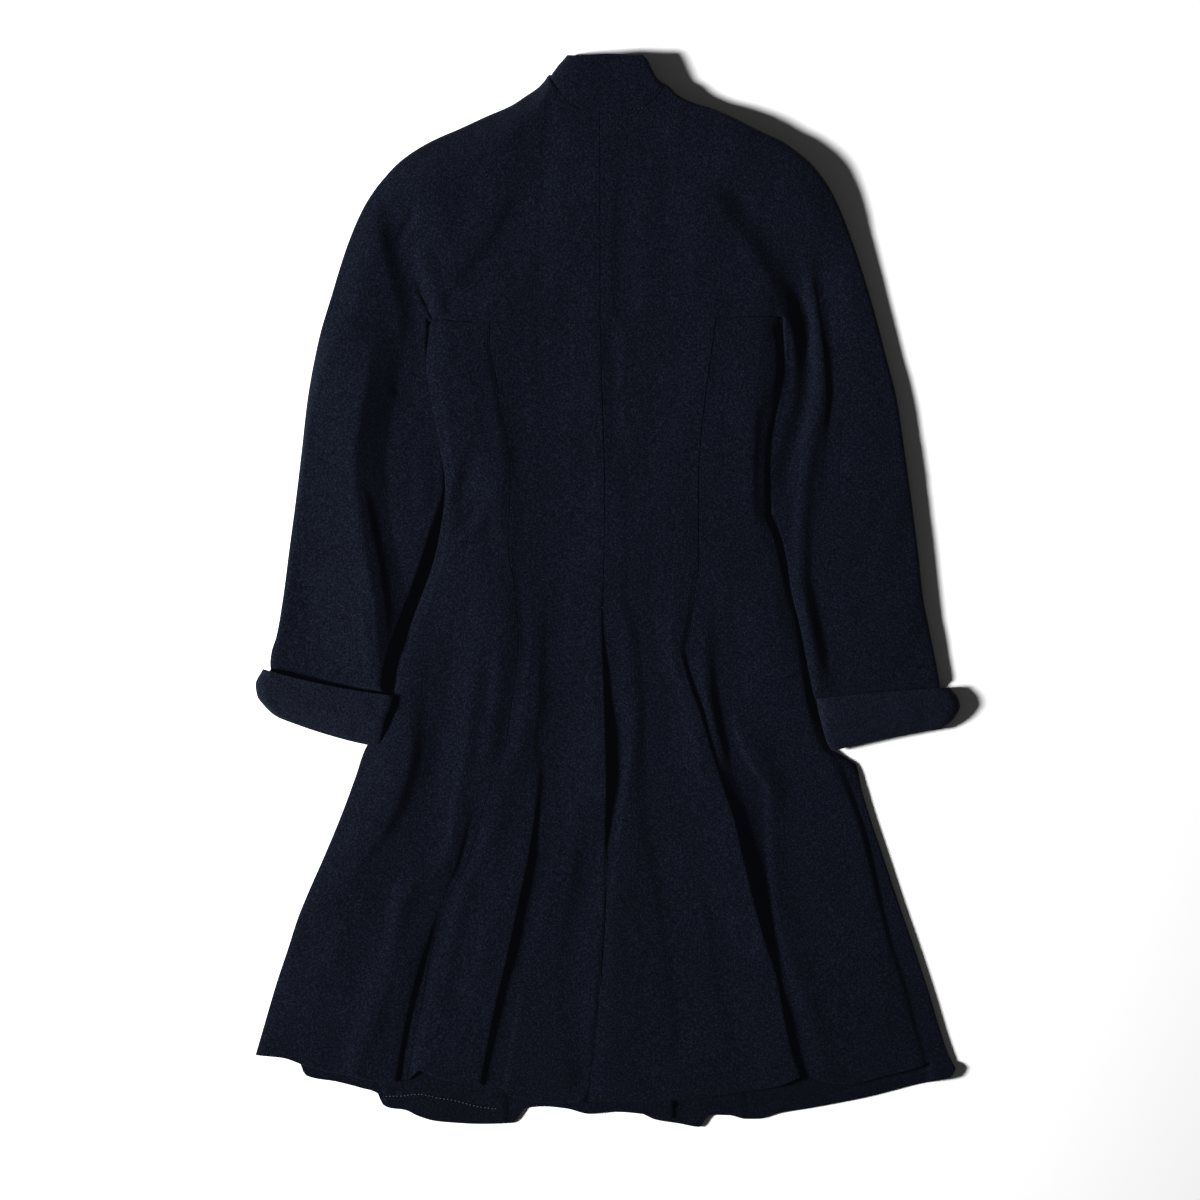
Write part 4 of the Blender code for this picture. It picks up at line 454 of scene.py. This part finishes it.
def shell(name, mid, half, mat, node, rim=RIM, closed=False, smooth_normals=0):
    """A closed wall of cloth on a grid of middle points, with rounded edges all round. closed joins the last column to the first."""
    rows, cols = mid.shape[:2]
    half = np.broadcast_to(np.asarray(half, float), (rows, cols))[..., None]
    du, dv = wrap_gradient(mid, closed), np.gradient(mid, axis=0)
    n = np.cross(du, dv)
    for _ in range(smooth_normals):
        n = unit(n)
        n[1:-1] = (n[:-2] + 2 * n[1:-1] + n[2:]) / 4
        n[:, 1:-1] = (n[:, :-2] + 2 * n[:, 1:-1] + n[:, 2:]) / 4
    n = unit(n)
    top, low = mid + n * half, mid - n * half
    count = rows * cols
    points = [top.reshape(-1, 3), low.reshape(-1, 3)]
    index = np.arange(count).reshape(rows, cols)
    quads = []
    c0, c1 = (index, np.roll(index, -1, axis=1)) if closed else (index[:, :-1], index[:, 1:])
    quads.append(np.stack([c0[:-1], c0[1:], c1[1:], c1[:-1]], axis=-1).reshape(-1, 4))
    quads.append(np.stack([c0[:-1], c1[:-1], c1[1:], c0[1:]], axis=-1).reshape(-1, 4) + count)
    if closed:
        rings = [(index[0], -unit(dv[0]), 1), (index[-1], unit(dv[-1]), -1)]
    else:
        outward = np.zeros_like(mid)
        outward[:, 0] -= unit(du[:, 0])
        outward[:, -1] += unit(du[:, -1])
        outward[0] -= unit(dv[0])
        outward[-1] += unit(dv[-1])
        outward = unit(outward)
        loop = np.concatenate([index[:, 0], index[-1, 1:], index[-2::-1, -1], index[0, -2:0:-1]])
        rings = [(loop, outward.reshape(-1, 3)[loop], -1)]
    start = 2 * count
    flat_mid, flat_n, flat_half = mid.reshape(-1, 3), n.reshape(-1, 3), half.reshape(-1, 1)
    for loop, out, turn in rings:
        previous = loop
        for angle in (55, 0, -55):
            a = math.radians(angle)
            points.append(flat_mid[loop] + out * rim * math.cos(a) + flat_n[loop] * flat_half[loop] * math.sin(a))
            ring = start + np.arange(len(loop))
            start += len(loop)
            quads.append(ring_faces(previous, ring, turn))
            previous = ring
        quads.append(ring_faces(previous, loop + count, turn))
    return build(name, np.concatenate(points), np.concatenate(quads), mat, node)


def ring_faces(a, b, turn):
    an, bn = np.roll(a, -1), np.roll(b, -1)
    faces = np.stack([a, b, bn, an], axis=-1)
    return faces if turn < 0 else faces[:, ::-1]


def build(name, points, quads, mat, node):
    mesh = bpy.data.meshes.new(name)
    places = board(points).astype(np.float32)
    mesh.vertices.add(len(places))
    mesh.vertices.foreach_set("co", places.ravel())
    mesh.loops.add(quads.size)
    mesh.loops.foreach_set("vertex_index", quads.astype(np.int32).ravel())
    mesh.polygons.add(len(quads))
    mesh.polygons.foreach_set("loop_start", np.arange(0, quads.size, quads.shape[1], dtype=np.int32))
    mesh.update(calc_edges=True)
    mesh.validate()
    mesh.shade_smooth()
    mesh.materials.append(mat)
    obj = bpy.data.objects.new(name, mesh)
    bpy.context.scene.collection.objects.link(obj)
    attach(obj, "root")
    if node:
        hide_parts(node)
    return obj


def draw_in(grid, left=0.0, right=0.0, first=0.0, last=0.0):
    """Moves the ends of a grid in along its own surface, to leave room for the rounded edge."""
    g = grid.copy()
    for by, edge, inside in ((left, np.s_[:, 0], np.s_[:, 1]), (right, np.s_[:, -1], np.s_[:, -2]),
                             (first, np.s_[0, :], np.s_[1, :]), (last, np.s_[-1, :], np.s_[-2, :])):
        if by:
            g[edge] = g[edge] + unit(grid[inside] - grid[edge]) * by
    return g


def grid_normals(grid):
    return unit(np.cross(np.gradient(grid, axis=1), np.gradient(grid, axis=0)))


# ------------------------------------------------------------------ cloth
def node_of(tree, kind, at, **settings):
    n = tree.nodes.new(kind)
    n.location = at
    for key, value in settings.items():
        if hasattr(n, key):
            setattr(n, key, value)
        else:
            n.inputs[key.replace("_", " ")].default_value = value
    return n


def crepe(name, dark, middle, light, grain=1.0):
    """Matt wool crepe: a pebbled surface of short over-twisted yarns with a little fuzz, and a faint painted glow that
    lightens its shade.
    """
    mat = bpy.data.materials.new(name)
    mat.use_nodes = True
    tree = mat.node_tree
    link = tree.links.new
    shader = tree.nodes["Principled BSDF"]
    shader.inputs["Metallic"].default_value = 0.0
    shader.inputs["Specular IOR Level"].default_value = 0.03
    shader.inputs["Sheen Weight"].default_value = 0.02
    shader.inputs["Sheen Roughness"].default_value = 0.5
    shader.inputs["Sheen Tint"].default_value = (0.62, 0.70, 1.0, 1.0)
    shader.inputs["Emission Color"].default_value = (0.00160, 0.00190, 0.00290, 1.0)     # painted glow: a faint emission that lightens the cloth's shaded folds
    shader.inputs["Emission Strength"].default_value = 1.0
    place = node_of(tree, "ShaderNodeTexCoord", (-1500, 0))
    pebble = node_of(tree, "ShaderNodeTexNoise", (-1200, 200), Scale=560.0, Detail=4.0, Roughness=0.66, Distortion=0.35)
    yarn = node_of(tree, "ShaderNodeTexVoronoi", (-1200, -50), Scale=900.0, Randomness=1.0)
    fuzz = node_of(tree, "ShaderNodeTexNoise", (-1200, -300), Scale=2600.0, Detail=2.0, Roughness=0.7)
    tone = node_of(tree, "ShaderNodeTexNoise", (-1200, 450), Scale=16.0, Detail=3.0, Roughness=0.55)
    for n in (pebble, yarn, fuzz, tone):
        link(place.outputs["Object"], n.inputs["Vector"])
    ramp = node_of(tree, "ShaderNodeValToRGB", (-900, 250))
    ramp.color_ramp.elements[0].position, ramp.color_ramp.elements[0].color = 0.36, (*dark, 1)
    ramp.color_ramp.elements[1].position, ramp.color_ramp.elements[1].color = 0.66, (*light, 1)
    mid = ramp.color_ramp.elements.new(0.5)
    mid.color = (*middle, 1)
    link(pebble.outputs["Fac"], ramp.inputs["Fac"])
    shade = node_of(tree, "ShaderNodeMapRange", (-900, 500))
    shade.inputs["From Min"].default_value, shade.inputs["From Max"].default_value = 0.3, 0.7
    shade.inputs["To Min"].default_value, shade.inputs["To Max"].default_value = 0.90, 1.10
    link(tone.outputs["Fac"], shade.inputs["Value"])
    scale = node_of(tree, "ShaderNodeVectorMath", (-600, 300), operation="SCALE")
    link(ramp.outputs["Color"], scale.inputs[0])
    link(shade.outputs["Result"], scale.inputs["Scale"])
    link(scale.outputs["Vector"], shader.inputs["Base Color"])
    rough = node_of(tree, "ShaderNodeMapRange", (-600, 50))
    rough.inputs["To Min"].default_value, rough.inputs["To Max"].default_value = 0.84, 1.0
    link(yarn.outputs["Distance"], rough.inputs["Value"])
    link(rough.outputs["Result"], shader.inputs["Roughness"])
    coarse = node_of(tree, "ShaderNodeBump", (-300, -200))
    coarse.inputs["Strength"].default_value = 1.0 * grain
    coarse.inputs["Distance"].default_value = 0.0013
    link(pebble.outputs["Fac"], coarse.inputs["Height"])
    fine = node_of(tree, "ShaderNodeBump", (-300, -450))
    fine.inputs["Strength"].default_value = 0.35 * grain
    fine.inputs["Distance"].default_value = 0.0003
    link(fuzz.outputs["Fac"], fine.inputs["Height"])
    link(coarse.outputs["Normal"], fine.inputs["Normal"])
    link(fine.outputs["Normal"], shader.inputs["Normal"])
    return mat


wool = crepe("wool_crepe", (0.0001, 0.0002, 0.0010), (0.0012, 0.0020, 0.0047), (0.0057, 0.0080, 0.0160))
# The fronts' cloth is darker than the outside: partly the inside of the cloth, partly painted shade under the back's
# hem.
wool_inside_shaded = crepe("wool_crepe_inside_shaded", (0.0001, 0.0002, 0.0008), (0.0010, 0.0017, 0.0040), (0.0040, 0.0056, 0.0112))
wool_cuff = crepe("wool_crepe_cuff", (0.0005, 0.0009, 0.0024), (0.0033, 0.0044, 0.0086), (0.0080, 0.0106, 0.0200), 1.1)
thread = bpy.data.materials.new("hem_thread")
thread.use_nodes = True
_s = thread.node_tree.nodes["Principled BSDF"]
_s.inputs["Roughness"].default_value = 0.6
_tn = node_of(thread.node_tree, "ShaderNodeTexNoise", (-700, 0), Scale=900.0, Detail=2.0)
_tr = node_of(thread.node_tree, "ShaderNodeValToRGB", (-450, 0))
_tr.color_ramp.elements[0].color = (0.028, 0.031, 0.042, 1)
_tr.color_ramp.elements[1].color = (0.075, 0.080, 0.098, 1)
thread.node_tree.links.new(_tn.outputs["Fac"], _tr.inputs["Fac"])
thread.node_tree.links.new(_tr.outputs["Color"], _s.inputs["Base Color"])

# ------------------------------------------------------------------ back panels
lines = SIDE_L + CENTRE_L + CENTRE_R + SIDE_R
rows = 258
shares = [0, .0016] + list(np.linspace(0, 1, rows)[1:-1]) + [.9984, 1]
keys = body_grid(lines, shares)
spans = np.linalg.norm(np.diff(keys, axis=1), axis=2).max(axis=0)
seams = {len(SIDE_L) - 1, len(SIDE_L) + len(CENTRE_L) - 1, len(SIDE_L) + len(CENTRE_L) + len(CENTRE_R) - 1}
samples, starts, count = [], [], 0
for k, wide in enumerate(spans):
    ts = even(max(2, math.ceil(wide / STEP)))
    if k == 0 or k in seams:
        ts = sorted(set(ts + [min(.4, 1.3 / wide), min(.8, 3.0 / wide)]))
    if k == len(spans) - 1 or k + 1 in seams:
        ts = sorted(set(ts + [1 - min(.4, 1.3 / wide), 1 - min(.8, 3.0 / wide)]))
    starts.append(count)
    count += len(ts)
    samples.append(ts)
samples[-1] = samples[-1] + [1.0]
starts.append(count)
back = across(keys, samples, steep_first=True, steep_last=True)
edge_fade = smooth((back[..., 2] - 5) / 5)
back[..., 2] += fold_height(BODY_FOLDS, back[..., 0], back[..., 1]) * edge_fade
back[..., 2] += unevenness(back[..., 0], back[..., 1]) * edge_fade
back_n = grid_normals(back)
back_mid = back - back_n * (CLOTH / 2)
cuts = [0, len(SIDE_L) - 1, len(SIDE_L) + len(CENTRE_L) - 1, len(SIDE_L) + len(CENTRE_L) + len(CENTRE_R) - 1, len(lines) - 1]
for (name, node), a, b in zip((("side_back_left", "side_back_l"), ("centre_back_left", "centre_back_l"),
                               ("centre_back_right", "centre_back_r"), ("side_back_right", "side_back_r")), cuts, cuts[1:]):
    part = back_mid[:, starts[a]:starts[b] + 1]
    part = draw_in(part, RIM + (0 if a == 0 else GAP), RIM + (0 if b == cuts[-1] else GAP), RIM + .26, RIM)
    half = np.full(part.shape[:2], CLOTH / 2)
    half[-12:] += .3 * smooth((np.arange(12) + 1) / 12)[:, None]     # the hem is turned up and thicker
    shell(name, part, half, wool, node)


# ------------------------------------------------------------------ yoke and sleeves
def sleeve_grid(table, seam_z, gentle):
    t = np.array(table, float)
    outer, inner = t[:, 0:2], t[:, 2:4]
    move = .5 * np.linalg.norm(np.diff(outer, axis=0), axis=1) + .5 * np.linalg.norm(np.diff(inner, axis=0), axis=1)
    v = np.concatenate([[0], np.cumsum(move)])
    fine = np.concatenate([np.linspace(0, v[-1], int(v[-1] / 2.3)), [1.4, v[-1] - 1.2]])
    fine.sort()
    cols = [pchip(v, t[:, k], fine) for k in range(8)]
    ox, oy, ix, iy, z_out, z_in, w_out, w_in = [c[:, None] for c in cols]
    wide = np.hypot(ix - ox, iy - oy)
    n = 66
    u = np.linspace(0, 1, n)
    u = np.sort(np.concatenate([u, [.004, .012, 1 - .012, 1 - .004]]))
    u = u + .10 * np.sin(2 * np.pi * u) / (2 * np.pi) * -1      # closer together at both edges
    u = u[None, :]
    x, y = ox + (ix - ox) * u, oy + (iy - oy) * u
    far_out, far_in = u * wide, (1 - u) * wide
    body = z_out + (z_in - z_out) * smooth((far_out - 18) / (wide - 26))
    rolled_in = smooth(w_in / 3.5)
    y = y + (along(YOKE_SEAM, ix) - iy) * (1 - rolled_in) * smooth((u - .8) / .2)
    roll_o = np.where(w_out > .5, roll(far_out / np.maximum(w_out, .5)), 1)
    if gentle:      # a low rounded edge, then a long rise
        rise = 1 - (1 - np.clip(far_out / np.maximum(w_out, .5), 0, 1)) ** 1.75
        roll_o = np.where(w_out > .5, .22 * roll(far_out / 2.6) + .78 * rise, 1)
    roll_i = np.where(w_in > .5, roll(far_in / np.maximum(w_in, .5)), 1)
    seam = seam_z(x)
    at_seam = seam + (body - seam) * smooth(far_in / 55)
    z = (1 - rolled_in) * at_seam + rolled_in * body
    z = EDGE_Z + (z - EDGE_Z) * (1 - (1 - roll_o) * smooth(w_out / 6)) * (1 - (1 - roll_i) * rolled_in)
    return np.stack([x, y, z], axis=-1), far_out, far_in


def inside_cuff(edge, bow, x, y):
    """How far a point lies past the free edge of the cuff, towards the hand."""
    _v, lx, ly, rx, ry = edge[:5]
    s = np.clip((x - lx) / (rx - lx), 0, 1)
    return y - (ly + (ry - ly) * s + bow * (1 - (2 * s - 1) ** 2))


yoke_edge = back[0]
order = np.argsort(yoke_edge[:, 0])


def seam_height(x):
    return np.interp(np.minimum(x, 775), yoke_edge[order, 0], yoke_edge[order, 2])


for name, node, table in (("yoke_sleeve_left_back", "back_yoke_sleeve_l", SLEEVE_L), ("yoke_sleeve_right_back", "back_yoke_sleeve_r", SLEEVE_R)):
    grid, far_out, far_in = sleeve_grid(table, seam_height, table is SLEEVE_L)
    keep = smooth((grid[..., 2] - EDGE_Z - 1) / 7)
    grid[..., 2] += fold_height(SLEEVE_FOLDS, grid[..., 0], grid[..., 1]) * keep
    grid[..., 2] += unevenness(grid[..., 0], grid[..., 1], .8) * keep
    cuff_edge = CUFF_L[0] if name.startswith("yoke_sleeve_left") else CUFF_R[0]
    depth = inside_cuff(cuff_edge, CUFF_BOW_L if cuff_edge is CUFF_L[0] else CUFF_BOW_R, grid[..., 0], grid[..., 1])
    grid[..., 2] -= (grid[..., 2] - 5.6) * smooth((depth + 7) / 6.5) * smooth((grid[..., 2] - EDGE_Z) / 2)
    grid[..., 2] = np.maximum(grid[..., 2], EDGE_Z)
    grid[..., 2] = np.where(depth > -6, np.maximum(grid[..., 2], EDGE_Z + 2.4 * smooth((depth + 6) / 8)), grid[..., 2])   # on the cuff's lower layer
    grid[..., 2] += 8.0 * smooth((depth - 5) / 10) * smooth((np.minimum(far_out, far_in) - 3) / 9)      # the sleeve's end fills the cuff
    n = grid_normals(grid)
    n *= np.sign(n[..., 2].mean())
    shell(name, draw_in(grid - n * (CLOTH / 2), .35, RIM + .16, RIM + GAP, RIM), CLOTH / 2, wool, node)

# ------------------------------------------------------------------ lower layer of the yoke and sleeves
for name, node, table, lap in (("yoke_sleeve_left_front", "front_yoke_sleeve_l", SLEEVE_L, [(640, 109, 640, 320.5), (600, 111.6, 600, 321)]),
                               ("yoke_sleeve_right_front", "front_yoke_sleeve_r", SLEEVE_R, [(566, 102, 566, 322)])):
    left = lap[0][0] > 600
    t = np.array(lap + [r[:4] for r in (table[1:] if left else table)], float)
    t[:, 3] += 3.0 * (t[:, 3] < 323)      # this seam lies a little below the one above it
    if left:
        t = t[(t[:, 0] < 555) | (t[:, 0] > 590)]
        t[:, 2] -= 5.6 * smooth((t[:, 3] - 470) / 30) * smooth((712 - t[:, 3]) / 20)     # drawn back beside the spread front
    move = np.linalg.norm(np.diff(t[:, :2], axis=0), axis=1) + np.linalg.norm(np.diff(t[:, 2:], axis=0), axis=1)
    v = np.concatenate([[0], np.cumsum(move / 2)])
    fine = np.linspace(0, v[-1], int(v[-1] / 4))
    ox, oy, ix, iy = [pchip(v, t[:, k], fine)[:, None] for k in range(4)]
    u = np.linspace(0, 1, 25)[None, :]
    x, y = ox + (ix - ox) * u, oy + (iy - oy) * u
    z = np.full(x.shape, 1.0)
    if left:
        z = z + 2.4 * smooth((562 - x) / -14)
    z = z + 2.4 * smooth((np.arange(len(fine)) - len(fine) + 14) / 8)[:, None]
    mid = draw_in(np.stack([x, y, z], axis=-1), RIM + .4, RIM + .4, RIM, RIM)
    shell(name, mid, .95, wool, node)


# ------------------------------------------------------------------ fronts, inside out at the hem
def front(name, node, left_edge, right_edge, hem, hem_line, lap_z, boxes):
    """A front lying face down. Below the back's shorter hem its inside shows, with the turned-up hem stitched on."""
    ys = np.concatenate([np.linspace(325.6, 1010, 90), np.linspace(1015, 1054, 12)])
    s = np.linspace(0, 1, 150)
    grid = []
    for y in ys:
        a, b = left_edge(y), right_edge(y)
        grid.append(np.stack([a + (b - a) * s, np.full(s.shape, y)], axis=-1))
    top = grid[-1]
    a, b = left_edge(1075), right_edge(1075)
    bottom_x = a + (b - a) * s
    bottom = np.stack([bottom_x, along(hem, bottom_x)], axis=-1)
    for k in np.linspace(0, 1, 34)[1:]:
        grid.append(top + (bottom - top) * k)
    g = np.array(grid)
    x, y = g[..., 0], g[..., 1]
    z_low = lap_z(x)
    thick = np.full(x.shape, 2.0)
    line = along(hem_line, x)
    thick += 1.3 * smooth((y - line) / 2.2) * smooth((y - 1040) / 10)
    for x0, x1, high, y0 in boxes:       # a fold of the flare pressed on itself
        rise = smooth((x - x0) / 2.2) * smooth((x1 - x) / 3.0) * smooth((y - y0) / 60)
        z_low = z_low + high * rise
    z_low = z_low + 5 * smooth((x - 926) / 10) * smooth((y - 1058) / 8)     # the corner stays up with the back's edge
    uneven = .35 * ripple(x, y, 26, 60, 21) * smooth((y - 1000) / 40)
    mid = np.stack([x, y, z_low + thick / 2 + np.maximum(uneven, 0)], axis=-1)
    mid = draw_in(mid, RIM, RIM, RIM, RIM)
    # The fronts take the darker cloth, partly painted shade under the back's hem.
    return shell(name, mid, thick / 2 - .02, wool_inside_shaded, node)


edge_l = [(k[0], k[1]) for k in SIDE_L[0][2]]


# The side of the left front spreads a little past the back, up to the lower layer of the sleeve.
SPREAD_L = [(470, 450), (484, 438.5), (532, 426), (569, 413.5), (611, 399), (645, 386.5), (663, 384), (680, 384), (692, 385.5), (704, 392)]


def left_side(y):
    if 472 < y < 703:
        return min(float(along(edge_l, y)) + .6, float(along(SPREAD_L, y)))
    return float(along(edge_l, y)) + .6 if y < 1052 else float(along([(1052, 258.4), (1064, 262), (1075, 262)], y))


def right_side(y):
    return float(along(FRONT_EDGE_R, min(y, 1078)))


front("front_left", "front_body_l", left_side, lambda y: 640 + 33 * (y - 320) / 755, FRONT_HEM_L, HEM_LINE_L,
      lambda x: 2.4 * smooth((x - 548) / 14), [(383.5, 508, 2.0, 960)])
front("front_right", "front_body_r", lambda y: 566, right_side, FRONT_HEM_R, HEM_LINE_R,
      lambda x: 0 * x, [(690, 745, 1.0, 990)])


# ------------------------------------------------------------------ standing collar
COLLAR_Z = [(0, 25), (.25, 25), (.55, 24.2), (.8, 23), (1, 22.2)]


def collar_grid():
    out = []
    for v in np.concatenate([[0, .02], np.linspace(.05, .96, 26), [.985, 1]]):
        xl = float(pchip([0, .1, .3, .6, 1], [567.3, 563.5, 557.8, 553.2, 549.8], v))
        xr = float(pchip([0, .1, .3, .6, 1], [643, 647.5, 652, 658.5, 666], v))
        zc = along(COLLAR_Z, v)
        path = np.array([(572, 1.1), (600, 1.1), (xr - 16, 1.1), (xr - 8, 1.5), (xr - 1.8, 4), (xr - .8, zc * .52), (xr - 1, zc * .9), (xr - 3, zc + 1.2),
                         (xr - 20, zc + .6), (600, zc - .4), (xl + 26, zc - .8), (xl + 12, zc * .9), (xl + 3.5, zc * .72), (xl + 1, zc * .45), (xl + 1.8, 5.6),
                         (xl + 7, 3.8), (xl + 15, 3.4), (600, 3.4), (632, 3.4)], float)
        step = np.concatenate([[0], np.cumsum(np.linalg.norm(np.diff(path, axis=0), axis=1))])
        fine = np.unique(np.concatenate([np.linspace(0, step[-1], 96), [s + d for s in step[3:8] for d in (0, 1.4)], [s + d for s in step[11:16] for d in (0, 1.4)]]))
        x, z = pchip(step, path[:, 0], fine), pchip(step, path[:, 1], fine)
        top = 54 + 1.6 * ((x - 607) / 40) ** 2 + .35 * np.sin(x / 7)
        y = top + v * (np.interp(x, *zip(*NECK_SEAM)) - top)
        out.append(np.stack([x, y, z], axis=-1))
    size = min(len(r) for r in out)
    return np.array([r[:size] for r in out])


c = collar_grid()
crown = smooth((c[..., 2] - 8) / 6)
c[..., 2] += unevenness(c[..., 0], c[..., 1], .5) * .6 * crown
shell("collar_band", draw_in(c, RIM, RIM, RIM, .62), CLOTH / 2, wool, "collar")


# ------------------------------------------------------------------ cuffs
def cuff(name, node, table, inner_end_right, seed):
    rings = []
    vs = np.concatenate([[0, .012, .04], np.linspace(.08, .94, 24), [.97, .99, 1]])
    for v in vs:
        get = [float(pchip([r[0] for r in table], [r[k] for r in table], v)) for k in range(1, 7)]
        lx, ly, rx, ry, thick, lift = get
        wide = float(np.hypot(rx - lx, ry - ly))
        half = thick / 2 - 1
        turn = np.radians(np.linspace(-90, 90, 13))[1:-1]
        flat = wide / 2 - 10
        level = np.linspace(1, -1, 44)
        across_ = np.concatenate([-flat * level, flat + 9 * np.cos(turn), flat * level, -flat - 9 * np.cos(turn)])
        rise = np.concatenate([-half + 0 * level, half * np.sin(turn), half + 0 * level, -half * np.sin(turn)])
        s = .5 + across_ / wide
        end = s if inner_end_right else 1 - s
        raised = lift * smooth((end - .90 + .1 * v) / .09)
        z = thick / 2 + rise
        z = 1 + raised + (z - 1) * (thick - 2 - raised) / (thick - 2)
        upper = rise > 0
        crown = .9 * (1 - (2 * s - 1) ** 2) * np.sin(np.pi * np.clip(v, 0, 1)) * (rise > half * .9)
        z = z + crown
        x = lx + (rx - lx) * s
        bow = CUFF_BOW_L if inner_end_right else CUFF_BOW_R
        y = ly + (ry - ly) * s + bow * (1 - (2 * s - 1) ** 2)
        fade = np.clip(rise / max(half, .1), 0, 1)
        z = z + fade * .45 * ripple(x, y, 24, 20, seed) + fade * .18 * ripple(x, y, 9, 9, seed + 1)
        rings.append(np.stack([x, y, z], axis=-1))
    shell(name, draw_in(np.array(rings), 0, 0, RIM, RIM), 1.0, wool_cuff, node, closed=True)


cuff("cuff_left", "cuff_l", CUFF_L, True, 31)
cuff("cuff_right", "cuff_r", CUFF_R, False, 33)


# ------------------------------------------------------------------ hand stitches along the turned-up hem
def stitches(name, line, heights, parent, seed):
    rng = np.random.default_rng(seed)
    line = np.array(line, float)
    step = np.concatenate([[0], np.cumsum(np.linalg.norm(np.diff(line, axis=0), axis=1))])
    points, quads, start = [], [], 0
    s = 2.0
    while s < step[-1] - 3:
        a = np.array([pchip(step, line[:, 0], s), pchip(step, line[:, 1], s)])
        b = np.array([pchip(step, line[:, 0], s + 2.0), pchip(step, line[:, 1], s + 2.0)]) + rng.normal(0, .25, 2)
        d = (b - a) / np.linalg.norm(b - a)
        side = np.array([-d[1], d[0]])
        z = float(heights(a[0]))
        for k, (t, r) in enumerate(((0, .06), (.25, .26), (.5, .32), (.75, .26), (1, .06))):
            p = a + (b - a) * t
            lift = .28 * math.sin(math.pi * t)
            for q in range(6):
                w = 2 * math.pi * q / 6
                points.append((*(p + side * r * math.cos(w)), z + lift + r * math.sin(w)))
        for k in range(4):
            for q in range(6):
                i, j = start + k * 6 + q, start + k * 6 + (q + 1) % 6
                quads.append((i, j, j + 6, i + 6))
        start += 30
        s += 3.6 + rng.uniform(-.4, .5)
    obj = build(name, np.array(points), np.array(quads), thread, None)
    return obj


stitches("hem_stitches_left", [(384, 1096.6), (400, 1096.2), (418, 1094.2), (439, 1098.2), (457, 1101.2), (478, 1106.7), (500, 1109.6)],
         lambda x: 5.5, None, 41)

# ------------------------------------------------------------------ floor, light, camera
floor_mesh = bpy.data.meshes.new("floor")
size = 9.0
floor_mesh.from_pydata([(-size, -size, 0), (size, -size, 0), (size, size, 0), (-size, size, 0)], [], [(0, 1, 2, 3)])
floor = bpy.data.objects.new("floor", floor_mesh)
bpy.context.scene.collection.objects.link(floor)
floor.location.z = -.0002
floor_mat = bpy.data.materials.new("pale_floor")
floor_mat.use_nodes = True
f = floor_mat.node_tree.nodes["Principled BSDF"]
f.inputs["Base Color"].default_value = (.96, .96, .96, 1)
f.inputs["Roughness"].default_value = .9
f.inputs["Specular IOR Level"].default_value = .1
floor_mesh.materials.append(floor_mat)


def area_light(name, place, aim, side, watts, color=(1, 1, 1), spread=180):
    data = bpy.data.lights.new(name, "AREA")
    data.shape, data.size, data.energy, data.color = "DISK", side, watts, color
    data.spread = math.radians(spread)
    obj = bpy.data.objects.new(name, data)
    bpy.context.scene.collection.objects.link(obj)
    obj.location = place
    direction = np.array(aim, float) - np.array(place, float)
    from mathutils import Vector
    obj.rotation_mode = "QUATERNION"
    obj.rotation_quaternion = Vector(direction).to_track_quat("-Z", "Y")
    return obj


area_light("key", (-3.05, -.28, 1.98), (-.25, .35, 0), .8, 118, spread=100)

world = bpy.data.worlds.new("studio")
bpy.context.scene.world = world
world.use_nodes = True
wt = world.node_tree
wt.nodes.clear()
out = node_of(wt, "ShaderNodeOutputWorld", (600, 0))
seen = node_of(wt, "ShaderNodeBackground", (0, 150))
seen.inputs["Color"].default_value, seen.inputs["Strength"].default_value = (1, 1, 1, 1), 1.0
fill = node_of(wt, "ShaderNodeBackground", (0, -150))
fill.inputs["Color"].default_value, fill.inputs["Strength"].default_value = (1, .99, .98, 1), .038
rays = node_of(wt, "ShaderNodeLightPath", (0, 400))
mix = node_of(wt, "ShaderNodeMixShader", (300, 0))
wt.links.new(rays.outputs["Is Camera Ray"], mix.inputs["Fac"])
wt.links.new(fill.outputs["Background"], mix.inputs[1])
wt.links.new(seen.outputs["Background"], mix.inputs[2])
wt.links.new(mix.outputs["Shader"], out.inputs["Surface"])

camera_data = bpy.data.cameras.new("camera")
camera_data.lens, camera_data.sensor_width = 85, 36
camera = bpy.data.objects.new("camera", camera_data)
bpy.context.scene.collection.objects.link(camera)
camera.location = ((600 - BOARD_X) / 1000, (BOARD_Y - 600) / 1000, 1.2 * 85 / 36)
camera.rotation_euler = (0, 0, 0)
bpy.context.scene.camera = camera
bpy.context.scene.view_settings.view_transform = "Standard"
bpy.context.scene.view_settings.look = "None"
